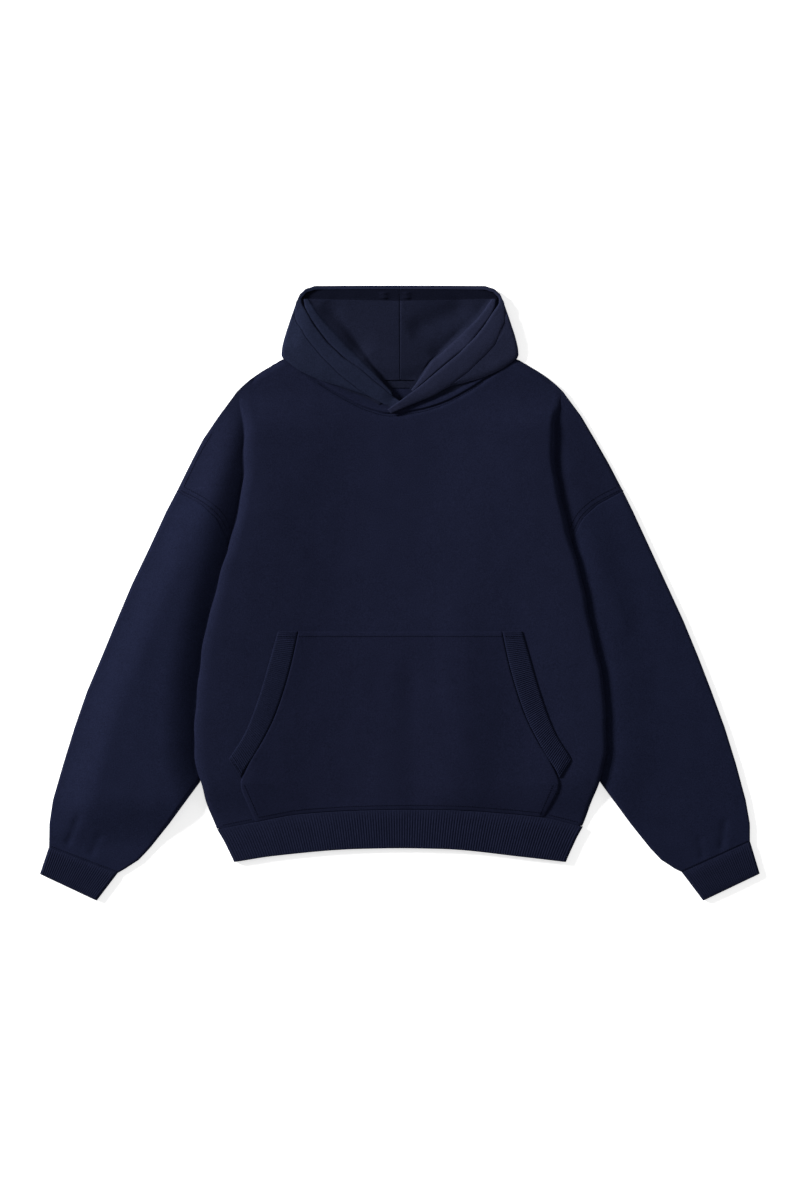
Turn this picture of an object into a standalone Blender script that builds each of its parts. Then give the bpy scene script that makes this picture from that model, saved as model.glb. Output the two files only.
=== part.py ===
"""Pullover hoodie lying flat on its back, front upwards, in metres.

X runs to the wearer's left, Y towards the hood and Z up. Every panel is a closed wall with
its own node, and neighbours stand apart by SEAM.
"""

import math

import bpy

CLOTH = 0.0028  # fleece
SEAM = 0.0003  # between pieces that are sewn together
HEM_GAP = 0.0008  # between the body and the hem band, whose seam is curved
LIE = 0.0004  # between layers that lie on each other
ROUND = 0.003  # outer radius of a folded edge
SLEEVE_TOP = 0.0070  # height of a flattened sleeve near its edges
FOLD_LIFT = 0.0077  # how far the body's side folds are raised by what they lie on
RIB_HEIGHT = 0.0007
HEM_RIBS = 134
CUFF_RIBS = 25
TRIM_RIBS = 48
POINTS_BELOW = 15  # across the plain side of the ribbed tubes

# The garment's outline from shoulder to cuff: height up the garment, then half widths right and left.
OUTLINE = (
    (0.329, 0.181, 0.180),
    (0.320, 0.197, 0.194),
    (0.306, 0.217, 0.215),
    (0.289, 0.235, 0.235),
    (0.254, 0.261, 0.261),
    (0.220, 0.284, 0.281),
    (0.185, 0.302, 0.301),
    (0.145, 0.322, 0.320),
    (0.116, 0.337, 0.336),
    (0.064, 0.361, 0.360),
    (0.012, 0.386, 0.384),
    (-0.040, 0.408, 0.408),
    (-0.091, 0.429, 0.429),
    (-0.143, 0.451, 0.449),
    (-0.195, 0.469, 0.468),
    (-0.247, 0.485, 0.484),
    (-0.299, 0.500, 0.498),
    (-0.333, 0.505, 0.504),
    (-0.368, 0.507, 0.505),
)
# The body's side folds: height, then half widths right and left.
SIDE = (
    (0.293, 0.230, 0.230),
    (0.266, 0.228, 0.228),
    (0.243, 0.224, 0.222),
    (0.220, 0.222, 0.221),
    (0.173, 0.222, 0.221),
    (0.150, 0.225, 0.225),
    (0.127, 0.230, 0.231),
    (0.081, 0.241, 0.244),
    (0.035, 0.256, 0.257),
    (-0.011, 0.269, 0.267),
    (-0.057, 0.280, 0.277),
    (-0.103, 0.287, 0.287),
    (-0.149, 0.293, 0.294),
    (-0.195, 0.295, 0.297),
    (-0.230, 0.295, 0.296),
    (-0.253, 0.292, 0.292),
    (-0.281, 0.284, 0.284),
    (-0.299, 0.279, 0.278),
    (-0.316, 0.273, 0.272),
    (-0.345, 0.260, 0.260),
)
# Where the hidden inner edge of what the side folds lie on runs: height, half width.
UNDER_SIDE = (
    (0.293, 0.214),
    (0.080, 0.214),
    (-0.060, 0.226),
    (-0.100, 0.230),
    (-0.273, 0.288),
    (-0.345, 0.320),
)
# The slope up to it: distance from that edge, share of the height.
RAMP = (
    (-0.041, 0.0),
    (-0.031, 0.16),
    (-0.021, 0.5),
    (-0.011, 0.84),
    (-0.001, 1.0),
)
UNDERARM_Y = -0.098
# Heights of the rows of points of both body panels below the underarm, then of each above it.
LOW_ROWS = (-0.3385, -0.315, -0.275, -0.235, -0.195, -0.155, -0.125)
FRONT_ROWS = LOW_ROWS + (-0.1036, -0.090, -0.050, -0.010, 0.030, 0.058, 0.072, 0.082, 0.092)
FRONT_ROWS += (0.104, 0.120, 0.142, 0.165, 0.195, 0.225, 0.252, 0.270, 0.282, 0.292)
BACK_ROWS = LOW_ROWS + (-0.106, -0.0975, -0.04, 0.02, 0.08, 0.103, 0.125, 0.150)
BACK_ROWS += (0.185, 0.220, 0.254, 0.293, 0.310, 0.3285)
# Where the points of a row lie across the middle of each, as shares of its half width.
FRONT_MIDDLE = (0.0, 0.11, 0.22, 0.33, 0.44, 0.55, 0.66, 0.77, 0.89)
BACK_MIDDLE = (0.0, 0.3, 0.6, 0.85)
# The back panel's edge: height, half width.
BACK_EDGE = (
    (0.329, 0.181),
    (0.310, 0.208),
    (0.293, 0.229),
    (0.254, 0.259),
    (0.220, 0.280),
    (0.185, 0.299),
    (0.150, 0.316),
    (0.125, 0.284),
    (0.080, 0.250),
    (0.000, 0.234),
    (-0.098, 0.229),
    (-0.104, 0.236),
    (-0.150, 0.288),
    (-0.195, 0.291),
    (-0.230, 0.290),
    (-0.281, 0.2772),
    (-0.316, 0.266),
    (-0.345, 0.255),
)
# The front armhole seam from the shoulder to the underarm: half width, height.
ARMHOLE = (
    (0.318, 0.145),
    (0.284, 0.126),
    (0.262, 0.106),
    (0.250, 0.080),
    (0.238, 0.030),
    (0.232, -0.040),
    (0.231, -0.100),
)
# The front's neckline: across, height.
NECKLINE = (
    (-0.181, 0.329),
    (-0.168, 0.333),
    (-0.150, 0.330),
    (-0.112, 0.301),
    (-0.077, 0.280),
    (-0.048, 0.266),
    (-0.015, 0.258),
    (0.025, 0.263),
    (0.062, 0.274),
    (0.095, 0.291),
    (0.120, 0.307),
    (0.150, 0.330),
    (0.168, 0.333),
    (0.181, 0.329),
)
# The back's neckline: across, height.
BACK_NECKLINE = (
    (-0.181, 0.329),
    (-0.168, 0.333),
    (-0.150, 0.328),
    (-0.110, 0.311),
    (0.0, 0.3045),
    (0.110, 0.311),
    (0.150, 0.328),
    (0.168, 0.333),
    (0.181, 0.329),
)
# The seam between body and hem band: across, height.
HEM_SEAM = (
    (-0.262, -0.3410),
    (-0.206, -0.3300),
    (-0.144, -0.3190),
    (-0.070, -0.3142),
    (0.000, -0.3125),
    (0.070, -0.3128),
    (0.144, -0.3175),
    (0.186, -0.3213),
    (0.216, -0.3256),
    (0.240, -0.3312),
    (0.262, -0.3370),
)
# The hem band's lower edge: across, height.
HEM_EDGE = (
    (-0.239, -0.388),
    (-0.181, -0.379),
    (-0.060, -0.369),
    (0.000, -0.368),
    (0.060, -0.369),
    (0.181, -0.381),
    (0.240, -0.388),
)
# A sleeve's inner edge from the underarm to near the cuff: half width, height.
SLEEVE_INNER = (
    (0.231, -0.100),
    (0.288, -0.273),
    (0.307, -0.299),
    (0.332, -0.333),
    (0.360, -0.368),
    (0.376, -0.385),
    (0.396, -0.398),
)
# Each cuff's corners, right and left: outer and inner end of its seam, then of its edge.
CUFF = {
    -1: ((0.5055, -0.3660), (0.4065, -0.4040), (0.5185, -0.4050), (0.4365, -0.4435)),
    1: ((0.5040, -0.3580), (0.4055, -0.4025), (0.5180, -0.4045), (0.4365, -0.4435)),
}
# Soft folds down the front: across, height at the top and at the bottom, half width, how high.
FRONT_FOLDS = (
    (0.030, -0.060, -0.330, 0.026, -0.0013),
    (0.082, 0.060, -0.330, 0.028, 0.0013),
    (-0.110, 0.020, -0.330, 0.032, -0.0009),
    (0.165, -0.020, -0.330, 0.030, -0.0008),
    (-0.040, -0.080, -0.330, 0.030, 0.0008),
)
# The pocket's edge from its top, then each trim's outer and inner edge: half width, height.
POCKET_SIDE = (
    (0.1460, -0.056),
    (0.1580, -0.110),
    (0.1800, -0.178),
    (0.2060, -0.229),
    (0.2275, -0.266),
    (0.2290, -0.275),
    (0.2080, -0.3235),
)
TRIM_OUTER = (
    (0.1755, -0.056),
    (0.1868, -0.096),
    (0.2040, -0.154),
    (0.2228, -0.202),
    (0.2460, -0.239),
)
TRIM_INNER = (
    (0.1463, -0.056),
    (0.1583, -0.110),
    (0.1803, -0.178),
    (0.2063, -0.229),
    (0.2278, -0.266),
)
# The hood's outline from the neck up and along the top to its middle: half width, height.
HOOD_SIDE = (
    (0.168, 0.336),
    (0.171, 0.343),
    (0.169, 0.356),
    (0.165, 0.371),
    (0.160, 0.386),
    (0.156, 0.398),
)
HOOD_TOP = (
    (0.156, 0.398),
    (0.150, 0.415),
    (0.145, 0.428),
    (0.136, 0.437),
    (0.121, 0.4415),
    (0.060, 0.442),
    (0.0, 0.442),
)
# The hood's tables that differ by side have -1 for the wearer's right and 1 for the left.
# The lower edge of each side panel's flap, towards the V at the front: half width, height.
FLAP_LOWER = {
    -1: ((0.168, 0.335), (0.150, 0.321), (0.121, 0.306), (0.100, 0.300), (0.047, 0.2825)),
    1: ((0.168, 0.335), (0.145, 0.318), (0.107, 0.304), (0.075, 0.297), (0.049, 0.2825)),
}
# The band along the hood's edge from the top to the V: outer edge, then inner edge, each
# across and height. Its last FREE_ROWS reach beyond the side panel.
BAND = {
    -1: (
        (0.1510, 0.3930, 0.1410, 0.4160),
        (0.1330, 0.3630, 0.1240, 0.3850),
        (0.1130, 0.3390, 0.1050, 0.3600),
        (0.0870, 0.3130, 0.0820, 0.3380),
        (0.0600, 0.2920, 0.0580, 0.3220),
        (0.0460, 0.2830, 0.0360, 0.3030),
        (0.0215, 0.2700, 0.0070, 0.2800),
    ),
    1: (
        (0.1510, 0.3910, 0.1420, 0.4160),
        (0.1370, 0.3570, 0.1200, 0.3820),
        (0.1250, 0.3430, 0.1080, 0.3670),
        (0.0990, 0.3180, 0.0840, 0.3430),
        (0.0730, 0.2980, 0.0550, 0.3190),
        (0.0480, 0.2830, 0.0300, 0.2980),
        (0.0100, 0.2670, 0.0000, 0.2755),
        (-0.0130, 0.2570, -0.0180, 0.2630),
    ),
}
FREE_ROWS = {-1: 1, 1: 2}
# The lining by stations from the V to the top: outer hidden end, under the band's edge, roll,
# inner end, each across and height, then how high its inner part lies.
LINING = {
    -1: (
        (0.034, 0.2745, 0.0150, 0.2855, 0.0120, 0.2885, 0.0100, 0.2905, 0.0074),
        (0.055, 0.2830, 0.0350, 0.3015, 0.0270, 0.3050, 0.0225, 0.3060, 0.0072),
        (0.080, 0.2920, 0.0500, 0.3135, 0.0380, 0.3170, 0.0003, 0.3060, 0.0072),
        (0.105, 0.3080, 0.0680, 0.3280, 0.0530, 0.3310, 0.0003, 0.3250, 0.0072),
        (0.128, 0.3240, 0.0830, 0.3395, 0.0640, 0.3430, 0.0003, 0.3420, 0.0073),
        (0.147, 0.3440, 0.0990, 0.3540, 0.0790, 0.3590, 0.0003, 0.3600, 0.0075),
        (0.153, 0.3640, 0.1120, 0.3690, 0.0945, 0.3755, 0.0003, 0.3790, 0.0079),
        (0.150, 0.3850, 0.1240, 0.3860, 0.1085, 0.3905, 0.0003, 0.3970, 0.0086),
        (0.145, 0.4020, 0.1330, 0.4020, 0.1210, 0.4060, 0.0003, 0.4120, 0.0098),
    ),
    1: (
        (0.034, 0.2765, 0.0190, 0.2890, 0.0160, 0.2910, 0.0135, 0.2930, 0.0074),
        (0.055, 0.2840, 0.0310, 0.2990, 0.0245, 0.3025, 0.0215, 0.3060, 0.0072),
        (0.080, 0.2910, 0.0420, 0.3080, 0.0315, 0.3120, 0.0003, 0.3060, 0.0072),
        (0.105, 0.3070, 0.0630, 0.3260, 0.0450, 0.3320, 0.0003, 0.3250, 0.0072),
        (0.130, 0.3230, 0.0790, 0.3390, 0.0610, 0.3460, 0.0003, 0.3420, 0.0073),
        (0.148, 0.3430, 0.0980, 0.3540, 0.0780, 0.3620, 0.0003, 0.3600, 0.0075),
        (0.153, 0.3630, 0.1100, 0.3690, 0.0930, 0.3760, 0.0003, 0.3790, 0.0079),
        (0.150, 0.3850, 0.1220, 0.3850, 0.1080, 0.3910, 0.0003, 0.3970, 0.0086),
        (0.145, 0.4020, 0.1320, 0.4010, 0.1200, 0.4060, 0.0003, 0.4120, 0.0098),
    ),
}
# The lining from its fold to the top of the hood: outer end across, its height, the middle's
# height, then how high the lining lies.
LINING_TOP = (
    (0.1430, 0.4110, 0.4185, 0.0112),
    (0.1420, 0.4160, 0.4210, 0.0116),
    (0.1415, 0.4180, 0.4228, 0.0104),
    (0.1400, 0.4200, 0.4245, 0.0072),
    (0.1370, 0.4260, 0.4300, 0.0070),
    (0.1300, 0.4325, 0.4360, 0.0078),
    (0.1180, 0.4370, 0.4385, 0.0066),
)
FLAP_BASE = 0.0102  # the hood's thickness along its lower edge
FLAP_RISE = 0.0056  # how much thicker it is on the flaps
# A band's points across it: share of its width, height above the flap.
BAND_PROFILE = (
    (0.0, -0.0006),
    (0.12, 0.0005),
    (0.5, 0.0010),
    (0.86, 0.0006),
    (0.97, -0.0006),
    (1.0, -0.0020),
)
# Where the points of the hood's side panels lie, as shares: over its top, across its back, then
# across its flap and across its top rim.
SHELL_TOP = (0.10, 0.30, 0.50, 0.72, 1.0)
SHELL_BACK = (0.0, 0.35, 0.65, 0.85)
SHELL_FLAP = (0.03, 0.16, 0.32, 0.48, 0.64, 0.80, 1.0)
SHELL_RIM = (0.2, 0.3, 0.42, 0.55, 0.7, 0.85, 1.0)
RIM_HEIGHT = 0.0078  # the hood's thickness along its top
TAPE_WIDTH = 0.0102
TAPE_HALF_LENGTH = 0.100
# Rings of a cuff and of the hem band from seam to edge: share of the way, thickness, rib height.
# The hem band's rows have its half width before its thickness.
CUFF_RINGS = (
    (0.0, 0.0070, 0.0002),
    (0.22, 0.0078, RIB_HEIGHT),
    (0.85, 0.0078, RIB_HEIGHT),
    (1.0, 0.0072, 0.0003),
)
HEM_RINGS = (
    (0.0, 0.2635, 0.0072, 0.0002),
    (0.30, 0.2550, 0.0080, RIB_HEIGHT),
    (0.90, 0.2410, 0.0080, RIB_HEIGHT),
    (1.0, 0.2390, 0.0074, 0.0003),
)
# Where the rings of a sleeve lie from underarm to cuff.
SLEEVE_RINGS = (0.0, 0.03, 0.08, 0.16, 0.26, 0.37, 0.48, 0.59, 0.70, 0.80, 0.89, 0.96, 1.0)
# Where the points of a flattened tube's ring lie: share of its width, share of its half thickness.
RING_UPPER = (
    (0.0, 0.0),
    (0.006, 0.75),
    (0.020, 1.0),
    (0.09, 1.0),
    (0.20, 1.0),
    (0.33, 1.0),
    (0.46, 1.0),
    (0.59, 1.0),
    (0.72, 1.0),
    (0.84, 1.0),
    (0.94, 1.0),
    (0.982, 1.0),
    (0.994, 0.75),
    (1.0, 0.0),
)
RING_LOWER = (
    (0.994, 0.75),
    (0.98, 1.0),
    (0.75, 1.0),
    (0.5, 1.0),
    (0.25, 1.0),
    (0.02, 1.0),
    (0.006, 0.75),
)
# Where the rows of the pocket lie along its edge.
POCKET_ROWS = (0.0, 0.02, 0.16, 0.31, 0.45, 0.58, 0.70, 0.806, 0.838, 0.98, 1.0)
POCKET_COLUMNS = 21


def at(table, where, column=1, key=0):
    """One column of a table whose rows are in order of their key column, at a value of the key."""
    rows = table if table[0][key] <= table[-1][key] else table[::-1]
    for low, high in zip(rows, rows[1:]):
        if where <= high[key]:
            break
    share = (where - low[key]) / (high[key] - low[key])
    share = min(max(share, 0.0), 1.0)
    return low[column] + share * (high[column] - low[column])


def along(path, share):
    """The point at a share of a path's length."""
    lengths = [math.dist(a, b) for a, b in zip(path, path[1:])]
    left = min(max(share, 0.0), 1.0) * sum(lengths)
    for a, b, length in zip(path, path[1:], lengths):
        if left <= length:
            return mix(a, b, left / length)
        left -= length
    return tuple(path[-1])


def mix(a, b, share):
    """The point at a share of the way from one point to another."""
    return tuple(p + share * (q - p) for p, q in zip(a, b))


def ease(share):
    """From 0 to 1 with level ends."""
    share = min(max(share, 0.0), 1.0)
    return share * share * (3 - 2 * share)


def steps(count, low=0.0, high=1.0):
    """Equal steps between two numbers."""
    return [low + (high - low) * k / (count - 1) for k in range(count)]


def edge_steps(count, low=0.0, high=1.0):
    """Steps that are closer together at both ends."""
    shares = [0.5 - 0.5 * math.cos(math.pi * k / (count - 1)) for k in range(count)]
    return [low + (high - low) * share for share in shares]


def add(name, points, faces):
    """A closed mesh as an object, turned inside out if its faces point inwards."""
    volume = 0.0
    for face in faces:
        o = points[face[0]]
        for k in range(1, len(face) - 1):
            p, q = points[face[k]], points[face[k + 1]]
            volume += o[0] * (p[1] * q[2] - p[2] * q[1])
            volume += o[1] * (p[2] * q[0] - p[0] * q[2])
            volume += o[2] * (p[0] * q[1] - p[1] * q[0])
    if volume < 0:
        faces = [face[::-1] for face in faces]
    mesh = bpy.data.meshes.new(name)
    mesh.from_pydata(points, [], faces)
    mesh.validate()
    bpy.context.collection.objects.link(bpy.data.objects.new(name, mesh))


def quads(rows, columns, start, flip, closed=False):
    """Faces over a grid of points, row after row."""
    faces = []
    across = columns if closed else columns - 1
    for r in range(rows - 1):
        for c in range(across):
            d = (c + 1) % columns
            face = [
                start + r * columns + c,
                start + r * columns + d,
                start + (r + 1) * columns + d,
                start + (r + 1) * columns + c,
            ]
            faces.append(face[::-1] if flip else face)
    return faces


def wall(name, upper, lower):
    """A closed wall between two grids with equally many rows and columns, as seen from above, X across."""
    rows, columns = len(upper), len(upper[0])
    points = [p for row in upper for p in row] + [p for row in lower for p in row]
    half = rows * columns
    rim = list(range(columns))
    rim += [r * columns + columns - 1 for r in range(1, rows)]
    rim += [(rows - 1) * columns + c for c in range(columns - 2, -1, -1)]
    rim += [r * columns for r in range(rows - 2, 0, -1)]
    faces = quads(rows, columns, 0, False) + quads(rows, columns, half, True)
    for a, b in zip(rim, rim[1:] + rim[:1]):
        faces.append([b, a, half + a, half + b])
    add(name, points, faces)


def tube(name, outer, inner):
    """A closed wall between an outer and an inner tube, each a list of rings of points."""
    columns = len(outer[0])
    points = [p for ring in outer for p in ring] + [p for ring in inner for p in ring]
    start = len(outer) * columns
    faces = quads(len(outer), columns, 0, False, True)
    faces += quads(len(inner), columns, start, True, True)
    last_outer = (len(outer) - 1) * columns
    last_inner = start + (len(inner) - 1) * columns
    for c in range(columns):
        d = (c + 1) % columns
        faces.append([d, c, start + c, start + d])
        faces.append([last_outer + c, last_outer + d, last_inner + d, last_inner + c])
    add(name, points, faces)


def side_fold(y, side):
    """Half width of the body at its side fold."""
    return at(SIDE, y, 1 if side < 0 else 2)


def ramp(x, y):
    """From 0 on the middle of the body to 1 on what its side folds lie on."""
    return at(RAMP, abs(x) - at(UNDER_SIDE, y))


def under_lift(x, y):
    """How far the back panel is raised by the sleeve under it."""
    return (FOLD_LIFT - 0.0001) * ramp(x, y) if y < UNDERARM_Y else 0.0


def front_lift(x, y):
    """How far the front is raised along its side folds."""
    return FOLD_LIFT * ramp(x, y) * ease((0.292 - y) / 0.020)


def front_top(x, y):
    """Height of the front's outer face, without the drop beyond its side folds."""
    height = CLOTH + LIE + CLOTH + 0.0001 + front_lift(x, y)
    crown = math.cos(math.pi / 2 * min(abs(x) / 0.24, 1.0)) * ease((0.30 - y) / 0.08)
    height += 0.0012 * crown
    for across, top, bottom, half, high in FRONT_FOLDS:
        fade = ease((top - y) / 0.09) * ease((y - bottom) / 0.04 + 0.4)
        height += high * fade * math.exp(-(((x - across) / half) ** 2))
    return max(height, CLOTH + LIE + CLOTH)


def body_columns(y, edge, middle):
    """Half widths of a row's points: the middle's shares, then one for each row of RAMP."""
    inside_edge = edge - 0.014
    start = min(at(UNDER_SIDE, y) + RAMP[0][0], inside_edge)
    columns = [share * start for share in middle]
    for k, (offset, _) in enumerate(RAMP):
        columns.append(min(at(UNDER_SIDE, y) + offset, inside_edge + 0.0018 * k))
    return columns


def cap_paths():
    """Each shoulder's edge from the foot of the armhole seam that shows up to the side fold's top."""
    paths = {}
    for side in (-1, 1):
        column = 1 if side < 0 else 2
        seam = [(x - SEAM, y + 0.001) for x, y in ARMHOLE[:4]][::-1]
        edge = [(row[column], row[0]) for row in OUTLINE if 0.15 < row[0] < 0.292][::-1]
        paths[side] = seam + edge
    return paths


def shoulder_cap(fold, far, y, top, on_seam):
    """A row's points beyond the side fold, on to the shoulder: outer face, then inner face."""
    base = CLOTH + LIE + 0.0001
    level = base + CLOTH
    drop = max(top - level, 0.0)
    outside, inside = [], []
    for back, fall in ((0.0026, 0.0), (0.0010, 0.12), (0.0, 0.45), (-0.0006, 0.85)):
        outside.append((fold - back, y, top - drop * fall))
        inside.append((fold - back, y, base))
    start = fold + 0.0016
    for share in (0.0, 0.45, 0.93, 1.0):
        z = level + 0.0010 * math.sin(math.pi * share)
        if share == 1.0:
            z = level - (0.0003 if on_seam else 0.0022)
        x, here = start + share * (far[0] - start), y + share * (far[1] - y)
        outside.append((x, here, z))
        inside.append((x, here, base))
    return outside, inside


def folded_edge(fold, y, top, wraps):
    """A row's points at a free side fold: outer face, then inner face.

    Where it wraps, it covers the back panel's edge.
    """
    bottom = under_lift(fold, y) if wraps else SLEEVE_TOP + LIE
    high = top - bottom
    radius = min(ROUND, high * 0.49)
    outside, inside = [], []
    for turn in (0.0, 0.5, 1.0):
        angle = turn * math.pi / 2
        x = fold - radius * (1 - math.sin(angle))
        outside.append((x, y, top - radius * (1 - math.cos(angle))))
    for k in (0.3, 0.6, 0.8, 0.9, 1.0):
        x = fold - 0.0010 * max(k - 0.6, 0.0) / 0.4
        outside.append((x, y, top - radius - (high - radius) * k))
    for k, share in enumerate((0.0, 0.3, 0.6, 0.8, 0.85, 0.9, 0.95, 1.0)):
        if wraps:
            inside.append((fold - CLOTH, y, top - CLOTH - share * (top - CLOTH - bottom)))
        else:
            inside.append((fold - 0.0030 + 0.0001 * k, y, bottom))
    return outside, inside


def front_panel():
    """The front: over the sleeves at its side folds, and on to the shoulders above them."""
    paths = cap_paths()
    foot = FRONT_ROWS[0]
    uppers, lowers = [], []
    for height in FRONT_ROWS:
        level = (height - foot) / (FRONT_ROWS[-1] - foot)
        halves = {}
        for side in (-1, 1):
            fold = side_fold(height, side)
            low = at(HEM_SEAM, side * 0.2555) + HEM_GAP
            y = low + level * (FRONT_ROWS[-1] - low)
            top = front_top(side * fold, y)
            share = (height - 0.080) / (FRONT_ROWS[-1] - 0.080)
            if share > 0.0:
                far = along(paths[side], share)
                outside, inside = shoulder_cap(fold, far, y, top, share < 0.35)
            else:
                outside, inside = folded_edge(fold, y, top, height <= UNDERARM_Y - 0.002)
            up, down = [], []
            for x in body_columns(height, fold, FRONT_MIDDLE):
                x = side * x
                low = at(HEM_SEAM, x) + HEM_GAP
                high = at(NECKLINE, x) if abs(x) < 0.181 else at(OUTLINE, abs(x), 0, 1)
                y = low + level * (high - 0.0004 - low)
                z = front_top(x, y)
                z_low = z - CLOTH
                if height > 0.078 and ramp(x, y) > 0.0:
                    z_low = min(CLOTH + LIE + 0.0001, z_low)
                elif UNDERARM_Y - 0.002 < height <= 0.078:
                    z_low = min(SLEEVE_TOP + LIE, z_low)
                up.append((x, y, z - 0.0016 * ease((level - 0.985) / 0.015)))
                down.append((x, y, z_low))
            up += [(side * x, y, z) for x, y, z in outside]
            down += [(side * x, y, z) for x, y, z in inside]
            halves[side] = (up, down)
        uppers.append(halves[-1][0][:0:-1] + halves[1][0])
        lowers.append(halves[-1][1][:0:-1] + halves[1][1])
    wall("front_panel", uppers, lowers)


def back_panel():
    """The back, which lies on the floor but for the edges that the sleeves raise."""
    low, high = BACK_ROWS[0], BACK_ROWS[-1]
    uppers, lowers = [], []
    for height in BACK_ROWS:
        share = (height - low) / (high - low)
        edge = at(BACK_EDGE, height)
        fold = side_fold(height, -1) if height < UNDERARM_Y - 0.007 else edge
        columns = body_columns(height, fold, BACK_MIDDLE) + [edge]
        columns = [-x for x in columns[:0:-1]] + columns
        upper, lower = [], []
        for x in columns:
            bottom = at(HEM_SEAM, x) + HEM_GAP
            top = at(BACK_NECKLINE, x) - SEAM
            y = height + (bottom - low) * (1 - share) ** 8 + (top - high) * share**8
            z = under_lift(x, height)
            lower.append((x, y, z))
            upper.append((x, y, z + CLOTH))
        uppers.append(upper)
        lowers.append(lower)
    wall("back_panel", uppers, lowers)


def sleeve(name, side):
    """A sleeve as a flattened tube, whose first ring follows the armhole."""
    column = 1 if side < 0 else 2
    outer_edge = [(0.3186, 0.1446)]
    outer_edge += [(row[column], row[0]) for row in OUTLINE if -0.35 < row[0] < 0.14]
    seam_out, seam_in = CUFF[side][:2]
    outer_edge += [(seam_out[0] + 0.0005, seam_out[1] + 0.0006)]
    inner_edge = [(0.2385, -0.116)] + [(x, y + 0.0006) for x, y in SLEEVE_INNER[1:] + (seam_in,)]
    front = [(x + 0.0004, y - 0.0006) for x, y in ARMHOLE[:-1]][::-1]
    front = [inner_edge[0]] + front[:-1] + [outer_edge[0]]
    back_rows = [row for row in BACK_EDGE[::-1] if -0.05 < row[0] < 0.14]
    back = [(half + 0.0008, height - 0.0004) for height, half in back_rows]
    back = [inner_edge[0]] + back + [outer_edge[0]]

    def place(seam, share, v):
        """The point at a share of the sleeve's length and a share of its width."""
        start, end = along(inner_edge, share), along(outer_edge, share)
        x, y = mix(start, end, v)
        if share < 0.35:
            fade = (1 - share / 0.35) ** 2
            straight = mix(inner_edge[0], outer_edge[0], v)
            bowed = along(seam, v)
            x += fade * (bowed[0] - straight[0])
            y += fade * (bowed[1] - straight[1])
        return x, y

    outer, inner = [], []
    for share in SLEEVE_RINGS:
        width = math.dist(along(inner_edge, share), along(outer_edge, share))
        inset = CLOTH / width
        level = 0.0064 + (SLEEVE_TOP - 0.0064) * min(share / 0.03, 1.0)
        ring, hollow = [], []
        for v, rise in RING_UPPER:
            crown = 0.0012 * ease(share / 0.3) * ease((v - 0.30) / 0.30) * ease((1.0 - v) / 0.25)
            top = level + crown
            x, y = place(front, share, v)
            ring.append((side * x, y, top / 2 + top / 2 * rise))
            x, y = place(front, share, inset + v * (1 - 2 * inset))
            hollow.append((side * x, y, top / 2 + (top / 2 - CLOTH) * rise))
        for v, rise in RING_LOWER:
            x, y = place(back, share, v)
            ring.append((side * x, y, level / 2 * (1 - rise)))
            x, y = place(back, share, inset + v * (1 - 2 * inset))
            hollow.append((side * x, y, level / 2 - (level / 2 - CLOTH) * rise))
        outer.append(ring)
        inner.append(hollow)
    tube(name, outer, inner)


def ribbed_ring(start, end, ribs, level, raised):
    """A flattened ring from one side edge to the other and back below, ribbed on top."""
    width = math.dist(start, end)
    ring = []
    margin = 0.0045 / width
    points = [(0.0, 0.0), (0.25 * margin, 0.72), (0.7 * margin, 0.97)]
    for rib in range(ribs):
        for k, high in ((0.2, 0), (0.7, 1)):
            v = margin + (1 - 2 * margin) * (rib + k) / ribs
            points.append((v, 1.0 + high * raised / (level / 2)))
    points += [(1 - 0.7 * margin, 0.97), (1 - 0.25 * margin, 0.72), (1.0, 0.0)]
    for v, rise in points:
        x, y = mix(start, end, v)
        ring.append((x, y, level / 2 * (1 + rise)))
    below = [(1 - 0.25 * margin, 0.72)]
    below += [(v, 1.0) for v in steps(POINTS_BELOW, 1 - margin, margin)]
    below += [(0.25 * margin, 0.72)]
    for v, rise in below:
        x, y = mix(start, end, v)
        ring.append((x, y, level / 2 * (1 - rise)))
    return ring


def shrunk(ring, start, end, level):
    """The plain inside of a ribbed ring."""
    width = math.dist(start, end)
    hollow = []
    for x, y, z in ring:
        v = math.dist((x, y), start) / width
        inset = CLOTH / width
        rise = min(max(z / (level / 2) - 1, -1.0), 1.0)
        x, y = mix(start, end, inset + v * (1 - 2 * inset))
        hollow.append((x, y, level / 2 + (level / 2 - CLOTH) * rise))
    return hollow


def cuff(name, side):
    """A ribbed cuff, open at both ends."""
    seam_out, seam_in, edge_out, edge_in = [(side * x, y) for x, y in CUFF[side]]
    outer, inner = [], []
    for share, level, raised in CUFF_RINGS:
        start, end = mix(seam_in, edge_in, share), mix(seam_out, edge_out, share)
        ring = ribbed_ring(start, end, CUFF_RIBS, level, raised)
        outer.append(ring)
        if share in (0.0, 1.0):
            inner.append(shrunk(ring, start, end, level))
    tube(name, outer, inner)


def bent(ring, share, half):
    """A straight ring of the hem band bent to lie between its seam and its edge."""
    points = []
    for x, _, z in ring:
        seam = at(HEM_SEAM, x / half * HEM_RINGS[0][1])
        edge = at(HEM_EDGE, x / half * HEM_RINGS[-1][1])
        points.append((x, seam + share * (edge - seam), z))
    return points


def hem_band():
    """The ribbed band round the bottom of front and back, as one flattened tube."""
    outer, inner = [], []
    for share, half, level, raised in HEM_RINGS:
        start, end = (-half, 0.0), (half, 0.0)
        straight = ribbed_ring(start, end, HEM_RIBS, level, raised)
        outer.append(bent(straight, share, half))
        if share in (0.0, 1.0):
            inner.append(bent(shrunk(straight, start, end, level), share, half))
    tube("hem_band", outer, inner)


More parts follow.
